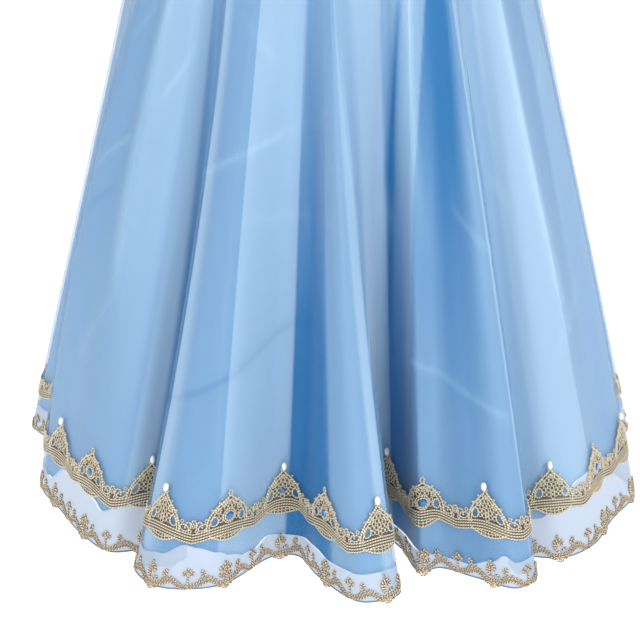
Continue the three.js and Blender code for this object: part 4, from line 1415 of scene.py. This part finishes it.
# %% Edging pieces
def edging_template(kind):
    """All of one repeat's cords. The sprigs over pearls and over stones differ."""
    rows = vine() + hem_loops() + (curl() if kind == "pearl" else cross())
    rows.append(cord([(MOTIF_HALF, 2.5), (MOTIF_HALF, 15)], 1.2))
    rows += rings(TREFOIL, 8, 1.15, [1])
    rows.append(cord(leaf(18, 19.4, 4.2, 2.2, 62, 10), 1.15))
    rows.append(cord(leaf(-28, 19, 3.8, 2.0, 110, 10), 1.15))
    return np.concatenate(rows)


edging_cords = {kind: edging_template(kind) for kind in templates}
edging_pieces = {
    side: lace_piece(f"lace_edging_{side}", side, edging_cords, {}, edging_cord) for side in PANELS
}

# %% Rolled edge of the cloth
def rolled_hem(side):
    """A thin tube along the panel's lower edge: one straight cord, drawn from its middle."""
    start, stop = PANELS[side]
    middle = (start + stop) / 2
    line = cord([((start - middle) * 1000, 0), ((stop - middle) * 1000, 0)], 1.0, 0.0, 4.0)
    points, quads, maps, ends = cord_tubes(line, [middle])
    return new_piece(
        f"rolled_hem_{side}", points, [quads, ends], [maps, no_map(ends)], [rolled_edge]
    )


hem_pieces = {side: rolled_hem(side) for side in PANELS}

# %% [markdown]
# ## Pearls and stones
# A pearl is a ball drawn out along the motif. A stone is cut like glass gems for sewing on:
# steep sides, a ring of slanted facets and a flat table. Blender's own ball and cone would need
# placing one by one, so one body of each is worked out and all copies are set by one sum. A
# stone's facets stay flat-shaded, because each one must catch the light on its own. Both stand
# on the cloth with the cloth's own directions: along the hem, up the skirt, and out. One pearl
# motif in six has a smaller stone in its middle as well.

# %% Ball
def ball(steps=9, sides=14):
    """A unit ball standing on its pole: points, quads, and pole fans as triangles."""
    polar = np.pi * np.arange(1, steps) / steps
    at = 2 * np.pi * np.arange(sides) / sides
    out, up = np.sin(polar)[:, None], np.cos(polar)[:, None]
    grid = np.stack(np.broadcast_arrays(out * np.cos(at), up, out * -np.sin(at)), -1).reshape(-1, 3)
    points = np.concatenate([grid, [(0, 1, 0), (0, -1, 0)]])
    quads = turned_over(ring_faces(np.arange(steps - 2) * sides, sides)).reshape(-1, 4)
    side = np.arange(sides)
    after = (side + 1) % sides
    top, bottom = len(points) - 2, len(points) - 1
    last = (steps - 2) * sides
    fans = np.concatenate([
        np.column_stack([np.full(sides, top), side, after]),
        np.column_stack([last + side, np.full(sides, bottom), last + after]),
    ])
    return points, quads, fans


print("a ball has", sum(len(faces) for faces in ball()[1:]), "faces")

# %% Cut stone
# radius, height, turn in half facets
STONE_RINGS = [(1.0, 0.0, 0), (1.0, 0.24, 0), (0.60, 0.60, 1)]


def cut_stone(sides=12):
    """A round cut stone of radius 1: side facets, slanted facets that alternate, and a table."""
    side = np.arange(sides)
    points = []
    for radius, height, turn in STONE_RINGS:
        at = 2 * np.pi * side / sides + turn * np.pi / sides
        level = np.full(sides, height)
        points.append(np.column_stack([radius * np.cos(at), radius * np.sin(at), level]))
    lower, after = sides + side, sides + (side + 1) % sides
    table, table_after = sides + lower, sides + after
    slanted = np.concatenate([
        np.column_stack([lower, after, table]),
        np.column_stack([after, table_after, table]),
    ])
    return np.concatenate(points), ring_faces(0, sides), slanted, table[None, :]


print("a stone has", sum(len(faces) for faces in cut_stone()[1:]), "facets")

# %% Bodies on the cloth
def local_frames(places, height):
    """Middle point on the cloth and the unit directions along, up and out at each place."""
    length = np.asarray(places, float)
    depth = np.full(len(length), SKIRT - height * MM)
    out = facing(length, depth)
    up = unit(cloth(length, depth - MM) - cloth(length, depth + MM))
    return cloth(length, depth), unit(np.cross(up, out)), up, out


def set_beads(name, places, height, body, half_sizes, lift, material, smooth):
    """Copies of a body on the cloth: a place's middle plus each point's share of its three
    directions. half_sizes scale the body along, up and out, all alike or one row for each."""
    middle, across, up, out = local_frames(places, height)
    shape = body[0] * np.asarray(half_sizes)[..., None, :] * MM
    points = (
        middle[:, None] + shape[..., :1] * across[:, None] + shape[..., 1:2] * up[:, None]
        + (shape[..., 2:] + lift * MM) * out[:, None]
    )
    step = (np.arange(len(places)) * len(body[0]))[:, None, None]
    face_sets = [(faces[None] + step).reshape(-1, faces.shape[1]) for faces in body[1:]]
    maps = [no_map(faces) for faces in face_sets]
    return new_piece(name, points, face_sets, maps, [material], smooth=smooth)


# %% Pearls and stones on the band
PEARL_UP = 118.5
PEARL_LIFT, STONE_LIFT = 3.4, 0.9
PEARL_SIZES = (3.3, 5.2, 3.3)
STONE_SIZES = (5.2, 5.2, 5.2)
SMALL_STONE_SIZES = (3.6, 3.6, 4.2)
SMALL_STONE_EVERY, SMALL_STONE_FIRST = 6, 3


def pearls(side):
    """One pearl on the tip of each pearl motif of a panel."""
    places = peaks(side, "pearl")
    return set_beads(
        f"pearls_{side}", places, PEARL_UP, ball(), PEARL_SIZES, PEARL_LIFT, pearl_lustre, True
    )


def stones(side):
    """A stone in each stone motif, and a small one in every sixth pearl motif, counted from the
    first one of the hem."""
    large, small = peaks(side, "stone"), peaks(side, "pearl")
    number = np.round((small - FIRST_PEAK) / (2 * REPEAT)).astype(int) % (REPEATS // 2)
    small = small[number % SMALL_STONE_EVERY == SMALL_STONE_FIRST]
    sizes = [STONE_SIZES] * len(large) + [SMALL_STONE_SIZES] * len(small)
    return set_beads(
        f"stones_{side}", np.concatenate([large, small]), STONE_MIDDLE, cut_stone(), sizes,
        STONE_LIFT, stone_blue, False,
    )


pearl_pieces, stone_pieces = {}, {}
for side in PANELS:
    pearl_pieces[side] = pearls(side)
    stone_pieces[side] = stones(side)

# %% [markdown]
# ## Bodice and straps
# The bodice is a plain one of satin, close to a dancer's body: a front and a back, each with two
# shaping seams, a bound top edge, and two narrow straps that are sewn inside it. It could be
# shaped by hand from a cylinder, but two tables keep it on the frame's solids: its form is an
# ellipse at each height, with its own depth in front and behind, and its top edge a height at
# each direction.

# %% Bodice tables
# height, half_width, front, back
BODICE_SECTIONS = [
    (0, 130, 98, 98), (60, 135, 103, 99), (115, 143, 112, 102), (165, 153, 133, 104),
    (210, 153, 130, 103), (260, 146, 112, 100),
]
# degrees from the front, height
BODICE_TOP = [
    (0, 205), (18, 226), (34, 240), (52, 222), (78, 176), (102, 168), (130, 186), (146, 196),
    (164, 176), (180, 168),
]
# degrees from the front
SHAPING_SEAMS = {"front": 34, "back": 146}


def read_smooth(table, x):
    """Smooth values between a table's rows: a cubic from row to row, where each row's slope is
    that of the line from the row before it to the row after it."""
    rows = np.asarray(table, float)
    keys, values = rows[:, 0], rows[:, 1:]
    last = len(keys) - 1
    low = np.clip(np.searchsorted(keys, x, side="right") - 1, 0, last - 1)
    before, after = np.clip(np.arange(last + 1) + [[-1], [1]], 0, last)
    slope = (values[after] - values[before]) / (keys[after] - keys[before])[:, None]
    span = (keys[low + 1] - keys[low])[..., None]
    t = np.clip((x - keys[low])[..., None] / span, 0, 1)
    return blend(t, values[low], slope[low] * span, values[low + 1], slope[low + 1] * span)


def around(at):
    """Degrees from the front, on either side."""
    return np.abs((at + 180) % 360 - 180)


def bodice_top(at):
    """Height of the top edge at a direction, in millimetres."""
    return read_smooth(BODICE_TOP, around(at))[..., 0]


print("top edge:", bodice_top(np.array([0.0, 90.0, 180.0])).round(), "mm in front, beside, behind")

# %% Bodice form


def bodice_point(at, height):
    """Point of the bodice's form, in metres, at degrees from the front and a height in
    millimetres. The ellipse there goes through the half width and the depth of that side."""
    at, height = np.broadcast_arrays(np.asarray(at, float), np.asarray(height, float))
    half_width, front, back = np.moveaxis(read_smooth(BODICE_SECTIONS, height), -1, 0)
    turn = np.radians(at)
    half_depth = np.where(np.cos(turn) < 0, back, front)
    out = 1 / np.hypot(np.sin(turn) / half_width, np.cos(turn) / half_depth)
    return np.stack([out * np.sin(turn), -out * np.cos(turn), height], -1) * MM


def bodice_facing(at, height):
    """Outward unit vector of the bodice's form, square to a step round it and a step up it."""
    across = bodice_point(at + 0.5, height) - bodice_point(at - 0.5, height)
    upward = bodice_point(at, height + 0.5) - bodice_point(at, np.maximum(height - 0.5, 0))
    return unit(np.cross(across, upward))


print("bodice at its fullest in front:", bodice_point(0, 165).round(3))

# %% Bodice panels
BODICE_HALVES = {"front": (-90, 90), "back": (90, 270)}
BODICE_COLUMNS, BODICE_ROWS = 140, 60
BODICE_FOOT = 0.6
# dent and draw in millimetres, the dent's width in degrees, the draw's waves and fade up it
DENT_DEPTH, DENT_WIDTH = 0.7, 0.9
DRAW_HEIGHT, DRAW_WAVE, DRAW_FADE = 0.5, 7, 26
MEAN_RADIUS = 0.14


def bodice_panel(side):
    """One half, with a narrow dent along each shaping seam and a slight draw above the waist:
    waves up the cloth that slant as they go round and fade with the height."""
    at = np.linspace(*BODICE_HALVES[side], BODICE_COLUMNS + 1)[None, :]
    share = np.linspace(0, 1, BODICE_ROWS + 1)[:, None]
    height = BODICE_FOOT + (bodice_top(at) - BODICE_FOOT) * (1 - share)
    at = np.broadcast_to(at, height.shape)
    dent = -DENT_DEPTH * np.exp(-(((around(at) - SHAPING_SEAMS[side]) / DENT_WIDTH) ** 2))
    slant = 3 * np.sin(np.radians(at * 2))
    draw = DRAW_HEIGHT * np.sin(height / DRAW_WAVE + slant) * np.exp(-height / DRAW_FADE)
    points = bodice_point(at, height) + bodice_facing(at, height) * ((dent + draw) * MM)[..., None]
    width = np.radians(at) * MEAN_RADIUS
    return grid_piece(f"bodice_satin_{side}", points, width, -height * MM, [bodice_satin])


bodice_pieces = {side: bodice_panel(side) for side in BODICE_HALVES}

# %% Bindings
BINDING_RADIUS = 1.7
BINDING_ROUND = 0.02
BINDING_BELOW = 1.0
BINDING_SIDES, BINDING_STEPS = 8, 120


def binding(side):
    """A tube along the top edge, closed at both ends. Its rings are square to the edge: they go
    round through the edge's level side direction and the direction square to both."""
    sides = BINDING_SIDES
    at = np.linspace(*BODICE_HALVES[side], BINDING_STEPS + 1)
    line = bodice_point(at, bodice_top(at) - BINDING_BELOW)
    tangent = unit(np.gradient(line, axis=0))
    level = unit(np.cross(tangent, (0, 0, 1)) + 1e-9)
    upright = np.cross(tangent, level)
    turn = 2 * np.pi * np.arange(sides)[:, None] / sides
    ring = np.cos(turn) * level[:, None] + np.sin(turn) * upright[:, None]
    points = line[:, None] + ring * BINDING_RADIUS * MM
    quads = ring_faces(np.arange(BINDING_STEPS) * sides, sides).reshape(-1, 4)
    ends = np.stack([np.arange(sides)[::-1], BINDING_STEPS * sides + np.arange(sides)])
    run = run_along(line)
    maps = [tube_map(run[:-1], run[1:], sides, BINDING_ROUND), no_map(ends)]
    return new_piece(f"top_binding_{side}", points, [quads, ends], maps, [bodice_satin])


binding_pieces = {side: binding(side) for side in BODICE_HALVES}

# %% [markdown]
# A strap is a ribbon folded lengthwise, sewn inside the bodice in front and behind. A flat
# strip with a thickness modifier would be near it, but a folded ribbon has soft edges, a groove
# beside each where it is stitched, and a slightly crowned middle. So its section is drawn, and
# carried along a curve over the shoulder.

# %% Strap's curve
STRAP_WIDTH = 14
STRAP_TUCK = 12
STRAP_INSIDE = 3.1
STRAP_STEPS = 100
SHOULDER_CENTRE = 240
SHOULDER_FACING = (1 / 3, 1, 0.6)
# x, y, z in millimetres
STRAP_OVER = [
    (88, -104, 285), (97, -70, 345), (104, -28, 384), (106, 12, 392), (101, 48, 362),
    (92, 76, 300), (80, 86, 240),
]


def through(stops, share):
    """A curve through the stops: cubics whose knots are the square roots of the distances
    between stops, with the slopes of the parabolas through each stop and its neighbours."""
    stops = np.asarray(stops, float)
    padded = np.concatenate([[2 * stops[0] - stops[1]], stops, [2 * stops[-1] - stops[-2]]])
    at = share * (len(stops) - 1)
    row = np.minimum(np.floor(at).astype(int), len(stops) - 2)
    t = (at - row)[:, None]
    stop = [padded[row + k] for k in range(4)]
    way = [after - before for before, after in zip(stop, stop[1:])]
    knot = [np.sqrt(np.linalg.norm(step, axis=1))[:, None] for step in way]

    def slope(k):
        """Slope at a row's stop, from the ways before and after it."""
        both = (way[k] + way[k + 1]) / (knot[k] + knot[k + 1])
        return (way[k] / knot[k] - both + way[k + 1] / knot[k + 1]) * knot[1]

    return blend(t, stop[1], slope(0), stop[2], slope(1))


def strap_ends(seam, below):
    """Points inside the bodice at a seam, and the outward directions there: at the top edge,
    and tucked in below it."""
    at = np.full(len(below), float(seam))
    height = bodice_top(at) - below
    normal = bodice_facing(at, height)
    return bodice_point(at, height) - normal * STRAP_INSIDE * MM, normal


def strap_line():
    """The strap's middle line and its facing from point to point: up from inside the front, over
    the shoulder and down inside the back."""
    front, front_facing = strap_ends(SHAPING_SEAMS["front"], np.array([STRAP_TUCK, 0]))
    back, back_facing = strap_ends(SHAPING_SEAMS["back"], np.array([0, STRAP_TUCK]))
    over = np.array(STRAP_OVER, float)
    over_facing = unit((over - (0, 0, SHOULDER_CENTRE)) * SHOULDER_FACING)
    share = np.linspace(0, 1, STRAP_STEPS + 1)
    middle = through(np.concatenate([front, over * MM, back]), share)
    return middle, through(np.concatenate([front_facing, over_facing, back_facing]), share)


print(f"a strap is {run_along(strap_line()[0])[-1]:.3f} m long")

# %% Straps
# across in half widths, out in millimetres, round the ribbon's section
RIBBON = np.array([
    (-1, 0), (-0.97, 0.5), (-0.8, 0.42), (-0.6, 0.6), (0, 0.68), (0.6, 0.6), (0.8, 0.42),
    (0.97, 0.5), (1, 0), (0.97, -0.5), (0, -0.6), (-0.97, -0.5),
])


def strap(side, mirror):
    """A ribbon over the shoulder: its section is carried along the line, across it and out from
    it. The left one is the right one mirrored, with its faces turned over."""
    middle, outward = strap_line()
    tangent = unit(np.gradient(middle, axis=0))
    across = unit(np.cross(tangent, outward))
    out = unit(np.cross(across, tangent))
    wide, high = RIBBON[:, :1] * STRAP_WIDTH / 2 * MM, RIBBON[:, 1:] * MM
    points = (middle[:, None] + across[:, None] * wide + out[:, None] * high) * (mirror, 1, 1)
    sides = len(RIBBON)
    quads = turned_over(ring_faces(np.arange(STRAP_STEPS) * sides, sides)).reshape(-1, 4)
    ends = np.stack([np.arange(sides), STRAP_STEPS * sides + np.arange(sides)[::-1]])
    if mirror < 0:
        quads, ends = quads[:, ::-1], ends[:, ::-1]
    run = run_along(middle)[:, None]
    uv = np.stack(np.broadcast_arrays(run, wide[:, 0]), -1).reshape(-1, 2)
    return new_piece(
        f"strap_ribbon_{side}", points, [quads, ends], [uv[quads], uv[ends]], [bodice_satin]
    )


strap_pieces = {"left": strap("left", -1), "right": strap("right", 1)}

# %% [markdown]
# ## Floor
# A plain pale floor, wide and far enough to fill the picture behind the dress. It lies where a
# dancer would stand, below the hem. One flat square is enough: a curved backdrop would only be
# needed if its far edge came into view.

# %% Floor
FLOOR_BELOW_HEM = 0.35
FLOOR_HALF = 14.0
FLOOR_COLOUR = (0.86, 0.87, 0.88, 1)
FLOOR_GLOW, FLOOR_GLOW_COLOUR = 0.5, (1, 1, 1, 1)


def floor_material():
    """Matt and almost white, with a little light of its own so that it stays even."""
    return new_material(
        "pale floor", 0.9, Specular_IOR_Level=0.1, Base_Color=FLOOR_COLOUR,
        Emission_Color=FLOOR_GLOW_COLOUR, Emission_Strength=FLOOR_GLOW,
    )[0]


floor_points = np.array([(-1, -1, 0), (1, -1, 0), (1, 1, 0), (-1, 1, 0)]) * FLOOR_HALF
floor_points[:, 2] = -SKIRT - FLOOR_BELOW_HEM
floor_faces = np.array([[0, 1, 2, 3]])
floor = new_piece("floor", floor_points, [floor_faces], [floor_points[:, :2]], [floor_material()])

# %% [markdown]
# ## Joining the frame
# Every piece of cloth rides on the imported body and stands in for its solid, which is hidden.
# A skirt panel is gored and no rectangle, and the cloth's length from waist to hem is worked out
# at one place along the hem.


def declare(piece, slot, *nodes):
    """A piece that rides on the body, with its slot, which is not used, and the solids it stands in
    for.
    """
    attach(piece, "root")
    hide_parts(*nodes)


def way_down(length):
    """Length of the cloth from waist to hem, at one length along the hem."""
    line = cloth(np.full(96, length), np.linspace(0, SKIRT, 96))
    return float(np.linalg.norm(np.diff(line, axis=0), axis=1).sum())


print(f"the cloth is {way_down(0.0):.3f} m long at the left side")

# %% Skirt pieces in the frame
NODES = {
    "skirt": {"front": ["skirt_front"], "back": ["skirt_back_right", "skirt_back_left"]},
    "lining": {
        "front": ["lining_front_left", "lining_front_right"],
        "back": ["lining_back_right", "lining_back_left"],
    },
}
for side, (start, stop) in PANELS.items():
    outer, inner = skirt_pieces[side], lining_pieces[side]
    declare(outer, "organza", *NODES["skirt"][side])
    declare(hem_pieces[side], "organza", *NODES["skirt"][side])
    declare(inner, "lining_satin", *NODES["lining"][side])
    declare(band_pieces[side], "gold_lace", f"band_{side}")
    declare(edging_pieces[side], "gold_lace", f"edging_{side}")
    declare(pearl_pieces[side], "pearl", f"band_{side}")
    declare(stone_pieces[side], "blue_stone", f"band_{side}")

# %% Bodice and straps in the frame
for side in BODICE_HALVES:
    piece, trim = bodice_pieces[side], binding_pieces[side]
    declare(piece, "bodice_satin", f"bodice_{side}")
    declare(trim, "bodice_satin", f"bodice_{side}")
for side, piece in strap_pieces.items():
    declare(piece, "bodice_satin", f"strap_{side}")
